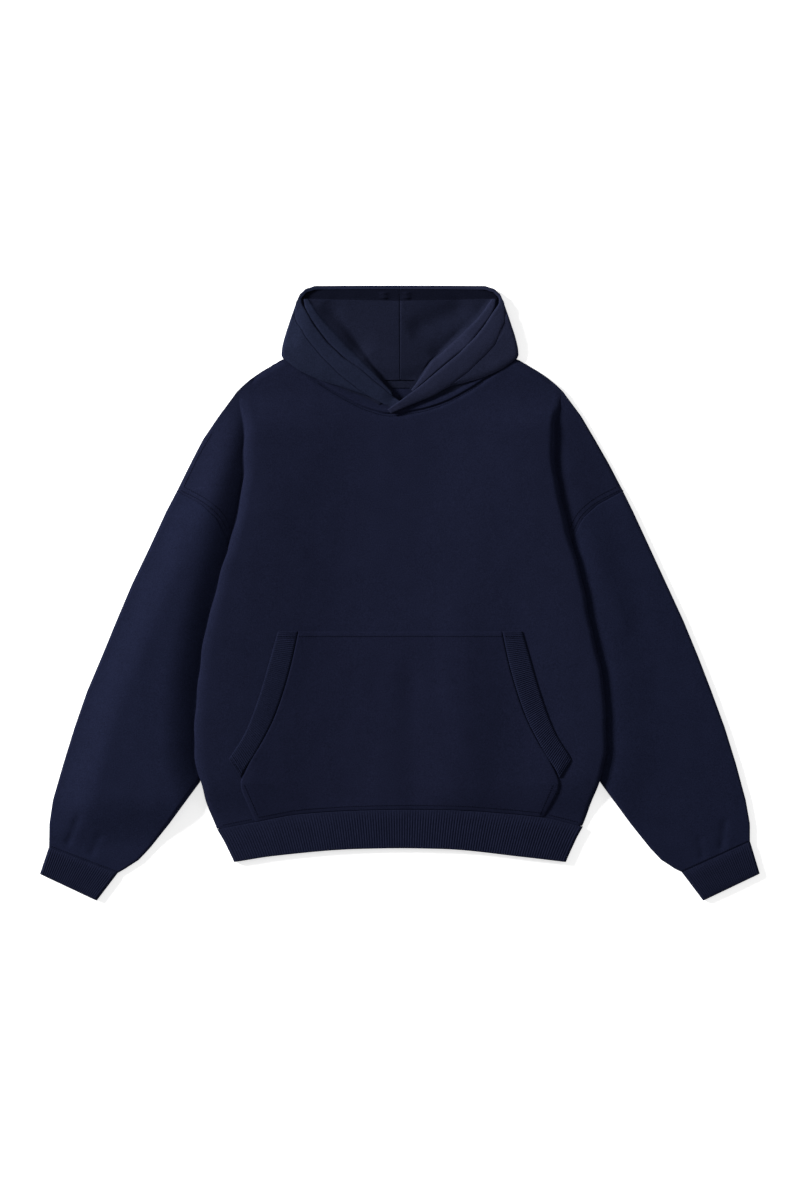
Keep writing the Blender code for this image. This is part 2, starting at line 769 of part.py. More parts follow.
def pocket_panel():
    """The pocket, which lies on the front and ends along the hem band's seam."""
    uppers, lowers = [], []
    for share in POCKET_ROWS:
        upper, lower = [], []
        half, y_side = along(POCKET_SIDE, share)
        for c in edge_steps(POCKET_COLUMNS, -1.0, 1.0):
            x = c * half
            down = at(HEM_SEAM, x) + 0.0020 - POCKET_SIDE[-1][1]
            y = y_side + ease((share - 0.84) / 0.15) * down
            z = front_top(x, y) + 0.0006
            edge = 0.0006 if share in (0.0, 1.0) or abs(c) == 1.0 else 0.0
            upper.append((x, y, z + CLOTH - edge))
            lower.append((x, y, z))
        uppers.append(upper)
        lowers.append(lower)
    wall("pocket_panel", uppers, lowers)


def pocket_trim(name, side):
    """The ribbed trim along one of the pocket's openings."""
    uppers, lowers = [], []
    for rib in range(TRIM_RIBS):
        for k, high in ((0.1, 0.0), (0.6, 1.0)):
            share = (rib + k) / (TRIM_RIBS - 0.3)
            upper, lower = [], []
            for across in (0.0, 0.5, 1.0):
                x, y = mix(along(TRIM_OUTER, share), along(TRIM_INNER, share), across)
                x = side * (x + (0.0006 if across == 1.0 else 0.0))
                z = front_top(x, y) + 0.0006
                raised = RIB_HEIGHT * high * (1.0 if across == 0.5 else 0.5)
                upper.append((x, y, z + CLOTH + raised))
                lower.append((x, y, z))
            uppers.append(upper)
            lowers.append(lower)
    wall(name, uppers, lowers)


def near(path, x, y):
    """Distance from a point to a path."""
    best = 1.0
    for (ax, ay), (bx, by) in zip(path, path[1:]):
        dx, dy = bx - ax, by - ay
        share = ((x - ax) * dx + (y - ay) * dy) / (dx * dx + dy * dy)
        share = min(max(share, 0.0), 1.0)
        best = min(best, math.dist((x, y), (ax + share * dx, ay + share * dy)))
    return best


def flap_top(x, y, side):
    """Height of the hood's flaps, x measured outwards on their own side."""
    tip = tuple(row[0:2] for row in BAND[side][-FREE_ROWS[side] :])
    low = near(FLAP_LOWER[side] + tip, x, y)
    edge = near(HOOD_SIDE[:-1] + HOOD_TOP[:4], x, y)
    rise = min(ease(low / 0.035), 0.35 + 0.65 * ease(edge / 0.030))
    return FLAP_BASE + FLAP_RISE * rise


def flap_seam(side):
    """The seam between side panel and band upwards, with a point halfway between every two."""
    rows = BAND[side][: -FREE_ROWS[side]]
    bends = [(row[0] + 0.0005, row[1] - 0.0006) for row in rows][::-1]
    seam = []
    for a, b in zip(bends, bends[1:]):
        seam += [a, mix(a, b, 0.5)]
    return seam + [bends[-1]]


def shell_back(corner, low_share, top_share):
    """A station's points across the hood's back, from its middle towards the side edge."""
    foot, knee = HOOD_SIDE[0][1], HOOD_SIDE[-1][1]
    fade = (1 - low_share) ** 2
    points = []
    for k in SHELL_BACK:
        x = 0.0002 + k * (corner[0] - 0.0062)
        y = knee + (0.4415 - knee) * top_share
        if top_share == 0.0:
            neck = at(BACK_NECKLINE, min(x, 0.16)) + 0.0008
            low = min(neck + 0.0004 * k, corner[1])
            y = fade * low + (1 - fade) * (foot + (knee - foot) * low_share)
        points.append((x, y))
    return points


def shell_sides(corner, back, high):
    """A station's points from the back round the side edge: outer face, then inner face."""
    x, y = corner
    outside = [(a, b, 0.0) for a, b in back]
    outside += [(x - 0.0045, y, 0.0), (x - 0.0012, y, 0.0014)]
    outside += [(x, y, high * 0.35), (x, y, high * 0.65), (x - 0.0012, y, high - 0.0014)]
    inside = [(a, b, CLOTH) for a, b in back]
    inside += [(x - 0.0048, y, CLOTH), (x - 0.0034, y, CLOTH + 0.0006)]
    inside += [(x - CLOTH, y, max(high * 0.40, 0.0036))]
    inside += [(x - CLOTH, y, min(high * 0.60, high - 0.0034))]
    inside += [(x - 0.0034, y, high - CLOTH - 0.0004)]
    return outside, inside


def shell_flap(corner, end, low_share, high, side):
    """A station's points across the flap: outer face, then inner face."""
    lower_edge = FLAP_LOWER[side]
    x, y = corner
    fade = (1 - low_share) ** 2
    outside, inside = [], []
    for v in SHELL_FLAP:
        low_here, straight = along(lower_edge, v), mix(lower_edge[0], lower_edge[-1], v)
        bow_x, bow_y = fade * (low_here[0] - straight[0]), fade * (low_here[1] - straight[1])
        here, within = mix((x - 0.0012, y), end, v), mix((x - 0.0038, y), end, v)
        here = (here[0] + bow_x, here[1] + bow_y)
        z = flap_top(*here, side)
        z = min(z, high + 0.0006) if v < 0.05 else z
        outside.append((*here, z - (0.0014 if low_share == 0.0 else 0.0)))
        inside.append((within[0] + bow_x, within[1] + bow_y, z - CLOTH))
    return outside, inside


def hood_shell(name, side):
    """One side panel of the hood: flat below, up round its side edge and forwards as a flap."""
    seam = flap_seam(side)
    stations = [(k / (len(seam) - 1), 0.0) for k in range(len(seam))]
    stations += [(1.0, share) for share in SHELL_TOP]
    outer, inner = [], []
    for low_share, top_share in stations:
        flap = top_share == 0.0
        corner = along(HOOD_SIDE, low_share) if flap else along(HOOD_TOP[:5], top_share)
        high = RIM_HEIGHT
        if flap:
            high = flap_top(corner[0] - 0.004, corner[1], side) - 0.0012
        back = shell_back(corner, low_share, top_share)
        outside, inside = shell_sides(corner, back, high)
        x, y = corner
        if flap:
            end = seam[round(low_share * (len(seam) - 1))]
            over, under = shell_flap(corner, end, low_share, high, side)
        else:
            end = (x - 0.0062, y - 0.0010 * top_share)
            over = [(*mix((x - 0.0012, y), end, v), high) for v in SHELL_RIM]
            under = [(*mix((x - 0.0038, y), end, v), high - CLOTH) for v in SHELL_RIM]
        outer.append([(side * a, b, c) for a, b, c in outside + over])
        inner.append([(side * a, b, c) for a, b, c in inside + under])
    wall(name, outer, inner)


def hood_band(name, side):
    """The band along the hood's edge, from the V at the front up to where it turns over the top."""
    rows = BAND[side]
    stations = [rows[0], mix(rows[0], rows[1], 0.05)]
    for a, b in zip(rows, rows[1:]):
        stations += [mix(a, b, 0.5), b]
    stations.insert(-1, mix(rows[-2], rows[-1], 0.93))
    uppers, lowers = [], []
    for share, row in enumerate(stations):
        outer_end, inner_end = row[0:2], row[2:4]
        upper, lower = [], []
        tuck = 0.0012 if share in (0, len(stations) - 1) else 0.0
        for v, raised in BAND_PROFILE:
            x, y = mix(outer_end, inner_end, v)
            z = flap_top(x, y, side)
            upper.append((side * x, y, z + raised - tuck))
            lower.append((side * x, y, z - CLOTH))
        uppers.append(upper)
        lowers.append(lower)
    wall(name, uppers, lowers)


def hood_lining(name, side):
    """The inside of the hood on one side, with the layers folded under it as one solid."""
    base = CLOTH + 0.0017
    uppers, lowers = [], []
    for row in LINING[side]:
        hidden, edge, roll, end = row[0:2], row[2:4], row[4:6], row[6:8]
        level = row[8]
        under = [hidden, mix(hidden, edge, 0.5), mix(hidden, edge, 0.93)]
        upper = []
        for x, y in under:
            upper.append((x, y, max(flap_top(x, y, side) - CLOTH - 0.0022, base + 0.0008)))
        top = min(0.0122, flap_top(*edge, side) - CLOTH - 0.0008)
        upper += [(*edge, top), (*mix(edge, roll, 0.6), top + 0.0003)]
        upper += [(*mix(edge, roll, 0.9), top - 0.0004)]
        upper += [(*roll, top - 0.0018), (*mix(roll, end, 0.06), max(level, top - 0.0036))]
        upper += [(*mix(roll, end, 0.14), level), (*mix(roll, end, 0.5), level)]
        upper += [(*end, level - 0.0003)]
        uppers.append([(side * x, y, z) for x, y, z in upper])
        lowers.append([(side * x, y, base) for x, y, z in upper])
    for across, outer_y, middle_y, level in LINING_TOP:
        upper = []
        for k in (0.0, 0.045, 0.085, 0.12, 0.16, 0.20, 0.26, 0.34, 0.42, 0.70, 1.0):
            x = across + k * (0.0003 - across)
            y = outer_y + (middle_y - outer_y) * ease(k / 0.3)
            under = flap_top(x, y, side) - CLOTH - 0.0010
            upper.append((x, y, min(level, under) if k < 0.10 else level))
        uppers.append([(side * x, y, z) for x, y, z in upper])
        lowers.append([(side * x, y, base) for x, y, z in upper])
    wall(name, uppers, lowers)


def neck_tape():
    """The tape over the seam at the back of the neck."""
    uppers, lowers = [], []
    for height in (0.0, 0.15, 0.85, 1.0):
        upper, lower = [], []
        for x in steps(13, -TAPE_HALF_LENGTH, TAPE_HALF_LENGTH):
            y = at(BACK_NECKLINE, x) - 0.0006 - TAPE_WIDTH * (1 - height)
            upper.append((x, y, CLOTH + (0.0011 if height in (0.0, 1.0) else 0.0013)))
            lower.append((x, y, CLOTH + 0.0003))
        uppers.append(upper)
        lowers.append(lower)
    wall("neck_tape", uppers, lowers)


def main():
    """Every piece, in an empty file."""
    for thing in list(bpy.data.objects):
        bpy.data.objects.remove(thing)
    front_panel()
    back_panel()
    sleeve("sleeve_right", -1)
    sleeve("sleeve_left", 1)
    cuff("cuff_right", -1)
    cuff("cuff_left", 1)
    hem_band()
    pocket_panel()
    pocket_trim("pocket_rib_right", -1)
    pocket_trim("pocket_rib_left", 1)
    hood_shell("hood_shell_right", -1)
    hood_shell("hood_shell_left", 1)
    hood_band("hood_band_right", -1)
    hood_band("hood_band_left", 1)
    hood_lining("hood_lining_right", -1)
    hood_lining("hood_lining_left", 1)
    neck_tape()


main()
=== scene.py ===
"""The looks of the pullover hoodie, lying flat on a pale floor, in metres.

Each panel is worked out again from the garment's sizes as a finer wall with soft folds, ribs and seams, and
stands for the CAD node of its name.
"""

import math
from collections import namedtuple

import bpy
import numpy as np
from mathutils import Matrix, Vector
from mathutils.bvhtree import BVHTree

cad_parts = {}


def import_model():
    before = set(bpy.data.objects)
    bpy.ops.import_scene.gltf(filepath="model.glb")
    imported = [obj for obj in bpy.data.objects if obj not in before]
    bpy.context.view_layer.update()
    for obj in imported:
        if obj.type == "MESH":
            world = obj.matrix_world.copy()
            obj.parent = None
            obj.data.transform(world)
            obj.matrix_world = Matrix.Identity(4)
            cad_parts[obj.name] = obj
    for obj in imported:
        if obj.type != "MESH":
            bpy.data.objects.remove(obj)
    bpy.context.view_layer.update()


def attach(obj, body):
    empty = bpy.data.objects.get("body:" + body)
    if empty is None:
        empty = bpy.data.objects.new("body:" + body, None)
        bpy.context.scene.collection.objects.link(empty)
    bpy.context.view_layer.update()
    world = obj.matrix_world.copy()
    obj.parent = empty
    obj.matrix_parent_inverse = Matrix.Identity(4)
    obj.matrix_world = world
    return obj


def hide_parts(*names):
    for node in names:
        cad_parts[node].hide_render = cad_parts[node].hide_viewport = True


CLOTH = 0.0028  # fleece
SEAM = -0.0001  # between pieces that are sewn together
HEM_LAP = 0.0007  # how far the body goes under the hem band's edge
LIE = 0.0004  # between layers that lie on each other
ON_BACK = CLOTH + LIE + 0.0001  # level of what lies on the back panel
SEAM_HIGH = 0.0064  # height of a flattened sleeve at the armhole seam
SLEEVE_TOP = 0.0070  # and near its edges
FOLD_LIFT = 0.0077  # how far the body's side folds are raised by what they lie on
BACK_LIFT = FOLD_LIFT - 0.0001  # how far the back panel is raised beside them
FRONT_RISE = FOLD_LIFT + 0.0030  # how much higher the front is at its side folds than in the middle
SLOPE_START = 0.185  # how far inside the side fold the slope up to that starts
SLOPE_WIDE = 0.178
FRONT_CROWN = 0.0005  # how far the front's middle bulges
# Waves of the side folds: how far, length of a wave over 2 pi, phase.
FOLD_WAVES = ((0.0007, 0.021, 1), (0.0005, 0.0087, 2))
RIB_HEIGHT = 0.0007
RIB_MARGIN = 0.0030  # plain edge beside the first and the last rib
HEM_RIBS = 134
CUFF_RIBS = 30
TRIM_RIBS = 74
TRIM_RIB_HEIGHT = 0.0009
TRIM_THIN = 0.0012  # how much thinner a trim is at its outer edge
TRIM_END_THIN = 0.0009  # and at its lower end
POINTS_BELOW = 41  # across the plain side of the ribbed tubes

HANDS = {-1: "right", 1: "left"}  # the wearer's, by the sign of X

# The garment's outline from shoulder to cuff: height up the garment, then half widths right and left.
OUTLINE = (
    (0.329, 0.181, 0.180), (0.320, 0.197, 0.194), (0.306, 0.217, 0.215), (0.289, 0.235, 0.235),
    (0.254, 0.261, 0.261), (0.220, 0.284, 0.281), (0.185, 0.302, 0.301), (0.145, 0.322, 0.320),
    (0.116, 0.337, 0.336), (0.064, 0.361, 0.360), (0.012, 0.386, 0.384), (-0.040, 0.408, 0.408),
    (-0.091, 0.429, 0.429), (-0.143, 0.451, 0.449), (-0.195, 0.469, 0.468), (-0.247, 0.485, 0.484),
    (-0.299, 0.500, 0.498), (-0.333, 0.505, 0.504), (-0.368, 0.507, 0.505),
)
# The body's side folds: height, then half widths right and left.
SIDE = (
    (0.293, 0.230, 0.230), (0.266, 0.228, 0.228), (0.243, 0.224, 0.222), (0.220, 0.222, 0.221),
    (0.173, 0.222, 0.221), (0.150, 0.225, 0.225), (0.127, 0.230, 0.231), (0.081, 0.241, 0.244),
    (0.035, 0.256, 0.257), (-0.011, 0.269, 0.267), (-0.057, 0.280, 0.277), (-0.103, 0.287, 0.287),
    (-0.149, 0.293, 0.294), (-0.195, 0.295, 0.297), (-0.230, 0.295, 0.296), (-0.253, 0.292, 0.292),
    (-0.281, 0.284, 0.284), (-0.299, 0.279, 0.278), (-0.316, 0.273, 0.272), (-0.345, 0.260, 0.260),
)
# Where the hidden inner edge of what the side folds lie on runs: height, half width.
UNDER_SIDE = ((0.293, 0.214), (0.080, 0.214), (-0.060, 0.226), (-0.100, 0.230))
UNDER_SIDE += ((-0.273, 0.288), (-0.345, 0.320))
# The slope up to it: distance from that edge, share of the height.
RAMP = ((-0.041, 0.0), (-0.031, 0.16), (-0.021, 0.5), (-0.011, 0.84), (-0.001, 1.0))
UNDERARM_Y = -0.098
WRAP_TOP = UNDERARM_Y - 0.002  # below this the front's side folds wrap the back panel
FREE_TOP = 0.078  # from here down to WRAP_TOP the front rests on the sleeves
# Heights of the rows of points of the front and of the back, and shares of the back's middle part across.
FRONT_ROWS = (-0.3385, -0.315, -0.275, -0.235, -0.195, -0.155, -0.125, -0.1036, -0.090, -0.050, -0.010)
FRONT_ROWS += (0.030, 0.058, 0.072, 0.082, 0.092, 0.104, 0.120, 0.142, 0.165, 0.195, 0.225, 0.252)
FRONT_ROWS += (0.270, 0.282, 0.292)
BACK_ROWS = (-0.3385, -0.315, -0.275, -0.235, -0.195, -0.155, -0.125, -0.106, -0.0975, -0.04, 0.02, 0.08)
BACK_ROWS += (0.103, 0.125, 0.150, 0.185, 0.220, 0.254, 0.293, 0.310, 0.3285)
BACK_MIDDLE = (0.0, 0.3, 0.6, 0.85)
LAST_COLUMNS = 0.014  # the back's last columns start this far inside its edge where the ramp has no room
COLUMN_GAP = 0.00045  # and are this far apart
# The back panel's edge: height, half width.
BACK_EDGE = (
    (0.329, 0.181), (0.310, 0.208), (0.293, 0.229), (0.254, 0.259), (0.220, 0.280), (0.185, 0.299),
    (0.150, 0.316), (0.125, 0.284), (0.080, 0.250), (0.000, 0.234), (-0.098, 0.229), (-0.104, 0.236),
    (-0.150, 0.288), (-0.195, 0.291), (-0.230, 0.290), (-0.281, 0.2772), (-0.316, 0.266), (-0.345, 0.255),
)
# The front armhole seam from the shoulder to the underarm: half width, height.
ARMHOLE = (
    (0.3212, 0.1462), (0.284, 0.126), (0.262, 0.106), (0.250, 0.080), (0.238, 0.030), (0.232, -0.040),
    (0.231, -0.100),
)
# The front's neckline: across, height.
NECKLINE = (
    (-0.181, 0.329), (-0.172, 0.3348), (-0.166, 0.3370), (-0.150, 0.330), (-0.112, 0.301), (-0.077, 0.280),
    (-0.048, 0.266), (-0.015, 0.258), (0.025, 0.263), (0.062, 0.274), (0.095, 0.291), (0.120, 0.307),
    (0.150, 0.330), (0.166, 0.3370), (0.172, 0.3348), (0.181, 0.329),
)
# The back's neckline: across, height.
BACK_NECKLINE = (
    (-0.181, 0.329), (-0.168, 0.333), (-0.150, 0.328), (-0.110, 0.311), (0.0, 0.3045), (0.110, 0.311),
    (0.150, 0.328), (0.168, 0.333), (0.181, 0.329),
)
# The seam between body and hem band: across, height.
HEM_SEAM = (
    (-0.262, -0.3410), (-0.206, -0.3300), (-0.144, -0.3190), (-0.070, -0.3142), (0.0, -0.3125),
    (0.070, -0.3128), (0.144, -0.3175), (0.206, -0.3238), (0.262, -0.3370),
)
# The hem band's lower edge: across, height.
HEM_EDGE = (
    (-0.239, -0.388), (-0.181, -0.379), (-0.060, -0.369), (0.000, -0.368), (0.060, -0.369), (0.181, -0.381),
    (0.240, -0.388),
)
# A sleeve's inner edge from the underarm to the cuff: half width, height.
SLEEVE_INNER = (
    (0.231, -0.100), (0.288, -0.273), (0.307, -0.299), (0.332, -0.333), (0.360, -0.368), (0.376, -0.385),
    (0.396, -0.398),
)
# A cuff's corners: half width, height at the seam's outer and inner end, then at the edge's.
CUFF = {
    -1: ((0.5055, -0.3660), (0.4065, -0.4040), (0.5185, -0.4050), (0.4365, -0.4435)),
    1: ((0.5040, -0.3580), (0.4055, -0.4025), (0.5180, -0.4045), (0.4365, -0.4435)),
}
# Soft folds down the front: across, height at the top and at the bottom, half width, how high.
FRONT_FOLDS = (
    (0.030, -0.060, -0.330, 0.026, -0.0013),
    (0.082, 0.060, -0.330, 0.028, 0.0013),
    (-0.110, 0.020, -0.330, 0.032, -0.0009),
    (0.165, -0.020, -0.330, 0.030, -0.0008),
    (-0.040, -0.080, -0.330, 0.030, 0.0008),
)
# Side edge of the pocket: half width, height. Its first five points are also the trims' inner edge.
POCKET_SIDE = (
    (0.1460, -0.056), (0.1580, -0.110), (0.1800, -0.178), (0.2060, -0.229), (0.2275, -0.266),
    (0.2290, -0.275), (0.2080, -0.3235),
)
# The pocket's rows, as shares of that edge.
POCKET_SHARES = (0.0, 0.02, 0.16, 0.31, 0.45, 0.58, 0.70, 0.806, 0.838, 0.98, 1.0)
POCKET_LIE = 0.0006  # how far above the front the pocket lies
POCKET_PRESS = 0.0008  # how much lower it lies at the hem's seam
EDGE_THIN = 0.0006  # how much thinner it is at its edges
HEM_THIN = 0.0005  # and towards the hem's seam
SIDE_THIN = 0.0016  # and at its lower side edges
SIDE_BEND = 0.0050  # over this width
LOW_EDGE = 0.80  # from this share of the edge on, below the trims
# Outer edge of the trims: half width, height.
TRIM_OUTER = ((0.1755, -0.056), (0.1868, -0.096), (0.2040, -0.154), (0.2228, -0.202), (0.2460, -0.239))
# The hood's side edge and top, the same on both sides: across, height.
HOOD_SIDE = ((0.168, 0.336), (0.171, 0.343), (0.169, 0.356), (0.165, 0.371), (0.160, 0.386), (0.156, 0.398))
HOOD_TOP = ((0.156, 0.398), (0.150, 0.415), (0.145, 0.428), (0.136, 0.437), (0.121, 0.4415))
HOOD_TOP += ((0.060, 0.442), (0.0, 0.442))
# The lower edge of each flap: across, height.
FLAP_LOWER = {
    -1: ((0.168, 0.335), (0.150, 0.321), (0.121, 0.306), (0.100, 0.300), (0.047, 0.2825)),
    1: ((0.168, 0.335), (0.145, 0.318), (0.107, 0.304), (0.075, 0.297), (0.049, 0.2825)),
}
# The band along the hood's edge from the top to the V: outer edge, then inner edge, each across and height.
# The side panel ends before its last FREE_ROWS.
BAND = {
    -1: (
        (0.1510, 0.3930, 0.1410, 0.4160),
        (0.1330, 0.3630, 0.1240, 0.3850),
        (0.1130, 0.3390, 0.1050, 0.3600),
        (0.0870, 0.3130, 0.0820, 0.3380),
        (0.0600, 0.2920, 0.0580, 0.3220),
        (0.0460, 0.2830, 0.0360, 0.3030),
        (0.0215, 0.2700, 0.0070, 0.2800),
    ),
    1: (
        (0.1510, 0.3910, 0.1420, 0.4160),
        (0.1370, 0.3570, 0.1200, 0.3820),
        (0.1250, 0.3430, 0.1080, 0.3670),
        (0.0990, 0.3180, 0.0840, 0.3430),
        (0.0730, 0.2980, 0.0550, 0.3190),
        (0.0480, 0.2830, 0.0300, 0.2980),
        (0.0100, 0.2670, 0.0000, 0.2755),
        (-0.0130, 0.2570, -0.0180, 0.2630),
    ),
}
FREE_ROWS = {-1: 1, 1: 2}
# The lining by stations from the V to the top: outer hidden end, under the band's edge, roll, inner end,
# each across and height, then how high the inner part lies.
LINING = {
    -1: (
        (0.030, 0.2700, 0.0110, 0.2825, 0.0120, 0.2885, 0.0100, 0.2905, 0.0055),
        (0.055, 0.2830, 0.0350, 0.3015, 0.0270, 0.3050, 0.0225, 0.3060, 0.0054),
        (0.080, 0.2920, 0.0500, 0.3135, 0.0380, 0.3170, 0.0, 0.3060, 0.0054),
        (0.105, 0.3080, 0.0680, 0.3280, 0.0530, 0.3310, 0.0, 0.3250, 0.0072),
        (0.128, 0.3240, 0.0830, 0.3395, 0.0640, 0.3430, 0.0, 0.3420, 0.0073),
        (0.147, 0.3440, 0.0990, 0.3540, 0.0790, 0.3590, 0.0, 0.3600, 0.0075),
        (0.153, 0.3640, 0.1120, 0.3690, 0.0945, 0.3755, 0.0, 0.3790, 0.0079),
        (0.150, 0.3850, 0.1240, 0.3860, 0.1085, 0.3905, 0.0, 0.3930, 0.0080),
        (0.146, 0.4000, 0.1330, 0.4000, 0.1200, 0.4050, 0.0, 0.4060, 0.0084),
        (0.1425, 0.4120, 0.1370, 0.4125, 0.1265, 0.4150, 0.0, 0.4145, 0.0088),
        (0.1400, 0.4215, 0.1380, 0.4215, 0.1318, 0.4220, 0.0, 0.4190, 0.0090),
    ),
    1: (
        (0.034, 0.2765, 0.0190, 0.2890, 0.0160, 0.2910, 0.0135, 0.2930, 0.0055),
        (0.055, 0.2840, 0.0310, 0.2990, 0.0245, 0.3025, 0.0215, 0.3060, 0.0054),
        (0.080, 0.2910, 0.0420, 0.3080, 0.0315, 0.3120, 0.0, 0.3060, 0.0054),
        (0.105, 0.3070, 0.0630, 0.3260, 0.0450, 0.3320, 0.0, 0.3250, 0.0072),
        (0.130, 0.3230, 0.0790, 0.3390, 0.0610, 0.3460, 0.0, 0.3420, 0.0073),
        (0.148, 0.3430, 0.0980, 0.3540, 0.0780, 0.3620, 0.0, 0.3600, 0.0075),
        (0.153, 0.3630, 0.1100, 0.3690, 0.0930, 0.3760, 0.0, 0.3790, 0.0079),
        (0.150, 0.3850, 0.1220, 0.3850, 0.1080, 0.3910, 0.0, 0.3930, 0.0080),
        (0.146, 0.4000, 0.1320, 0.4000, 0.1200, 0.4050, 0.0, 0.4060, 0.0084),
        (0.1425, 0.4120, 0.1370, 0.4125, 0.1265, 0.4150, 0.0, 0.4145, 0.0088),
        (0.1400, 0.4215, 0.1380, 0.4215, 0.1318, 0.4220, 0.0, 0.4190, 0.0090),
    ),
}
# The lining over the hood's top: outer end across and height, height in the middle, how high it lies.
LINING_TOP = (
    (0.1402, 0.4224, 0.4198, 0.0056),
    (0.1385, 0.4260, 0.4250, 0.0050),
    (0.1340, 0.4300, 0.4310, 0.0050),
    (0.1270, 0.4345, 0.4360, 0.0050),
    (0.1180, 0.4370, 0.4385, 0.0056),
)
LINING_GAP = 0.0017  # between the hood's back layer and the lining's folded layers
ROLL_HIGHEST = 0.0146
# The lining's roll beside the band: share of its width, height above its level.
ROLL_PROFILE = ((0.0, 0.0004), (0.22, 0.0018), (0.76, 0.0014), (1.0, -0.0004))
LINING_BULGE = 0.0032  # how far the lining rises towards its centre seam
# The band above and below its rows in BAND: the taper at the top, and what the other band hides.
BAND_TOP = ((0.1440, 0.4292, 0.1428, 0.4305), (0.1500, 0.4150, 0.1425, 0.4255))
BAND_UNDER = ((0.0100, 0.2640, -0.0020, 0.2740),)
FLAP_STEPS = (0.03, 0.16, 0.32, 0.48, 0.64, 0.80, 1.0)  # across the flap, from its fold
RIM_STEPS = (0.2, 0.3, 0.42, 0.55, 0.7, 0.85, 1.0)  # across the rolled rim
# Stations of the rolled rim along the hood's top, from the flap's end to the middle.
RIM_SHARES = (0.033, 0.10, 0.14, 0.18, 0.215, 0.25, 0.29, 0.333, 0.42, 0.55, 0.70, 0.85, 1.0)
# The band's rounding: share of its width, height above the flap.
BAND_PROFILE = ((0.0, -0.0008), (0.12, 0.0001), (0.5, 0.0005), (0.86, 0.0003), (0.97, -0.0006))
BAND_PROFILE += ((1.0, -0.0016),)
UNDER_DIP = 0.0034  # at the V the band at the wearer's right goes down under the other
OVER_RISE = 0.0016  # and the one at the left goes up over it
BAND_SINK = 0.0036  # how far the band's upper end sinks into the hood's rim
FLAP_BASE = 0.0102  # the hood's height along its lower edge
V_RISE = 0.0014  # how much higher that edge is at the V
FLAP_DROOP = 0.0014  # how far the flap's lower edge turns down
DROOP_WIDTH = 0.012  # over this width
RIM_SLOPE = 0.030  # how wide the flap's slope down to the hood's outline is
RIM_INSET = 0.004  # how far inside the outline the flap begins
RIM_DROP = 0.0012  # how much lower than the flap the rim's side is
RIM_HIGH = 0.0062  # the hood's thickness in the middle of its top
RIM_CORNER = (0.0012, 0.0014)  # rounding of the rim: how far in, how far up
BACK_END = 0.0062  # how far inside the outline the flat back layer ends
# How much higher the hood is on its flaps: height, width of the slope, share of the height at the outline.
FLAP_RISE = {-1: (0.0070, 0.035, 0.35), 1: (0.0048, 0.055, 0.60)}
TAPE_HIGH = 0.0102  # how far the tape at the back of the neck reaches below the back's neckline
TAPE_ABOVE = 0.0014  # and above it
CAP_FOOT = 0.066  # height at which the armhole seam comes out from under the side fold
CAP_START = 0.002  # how far outside its side fold the front comes down on the shoulder
# Shares of the way from there to the shoulder's edge.
CAP_SHARES = (0.0, 0.03, 0.07, 0.12, 0.18, 0.26, 0.36, 0.48, 0.60, 0.72, 0.82, 0.90, 0.94, 0.97, 0.985, 1.0)
CAP_BEND = 0.93  # share from which the front bends down there
CAP_DROP = 0.0026  # how far it does at the shoulder's outline
SEAM_DROP = 0.0011  # and at the armhole seam
EDGE_WIDTH = {-1: 0.016, 1: 0.008}  # how wide the rounding along the side folds is, right and left
EDGE_TURNS = 10
SHOULDER_END = 0.235  # half width at which the front's upper edge ends
NECK_DROP = 0.0022  # how far the front goes down under the hood at its upper edge
ROUND_SHARE = 0.62  # share of a side fold's height that its upper rounding takes up
# How the sleeves bulge beside the body, right and left: height, over what widths they rise and fall.
PUFF = ((0.0150, 0.046, 1.0), (0.0026, 0.026, 0.055))
PUFF_FALL = 0.070  # over this width the bulge falls off to the outline
END_STEPS = (0.04, 0.10, 0.18)  # extra rows near a grid's ends, in its own steps
# How far a panel's or a tube's last rows of points are tucked in, from its end inwards.
PANEL_TUCKS = (0.0011, 0.0006, 0.0002)
TUBE_TUCKS = (0.0010, 0.0005, 0.0002)
LOWEST_TROUGH = 0.0031  # troughs press the underside of a panel on top no lower than this
# A rib: share of its width, share of its height.
RIB_PROFILE = ((0.04, 0.0), (0.20, 0.35), (0.36, 0.88), (0.54, 1.0), (0.72, 0.88), (0.88, 0.35))
# Rings of a cuff from seam to edge: share of the way, thickness, rib height.
CUFF_RINGS = (
    (0.0, 0.0070, 0.0002),
    (0.22, 0.0078, RIB_HEIGHT),
    (0.85, 0.0078, RIB_HEIGHT),
    (1.0, 0.0072, 0.0003),
)
# Rings of the hem band from seam to edge: share of the way, half width, thickness, rib height.
HEM_RINGS = (
    (0.0, 0.2635, 0.0086, 0.0002),
    (0.30, 0.2550, 0.0086, RIB_HEIGHT),
    (0.97, 0.2395, 0.0084, RIB_HEIGHT),
    (1.0, 0.2390, 0.0081, 0.0005),
)
# Where the points of a flattened tube's ring lie: share of its width, then share of its half height.
RING_FLAT = (0.020, 0.09, 0.20, 0.33, 0.46, 0.59, 0.72, 0.84, 0.94, 0.982)
RING_UPPER = ((0.0, 0.0), (0.006, 0.75), *((v, 1.0) for v in RING_FLAT), (0.994, 0.75), (1.0, 0.0))
RING_LOWER = ((0.994, 0.75), (0.98, 1.0), (0.75, 1.0), (0.5, 1.0), (0.25, 1.0), (0.02, 1.0), (0.006, 0.75))

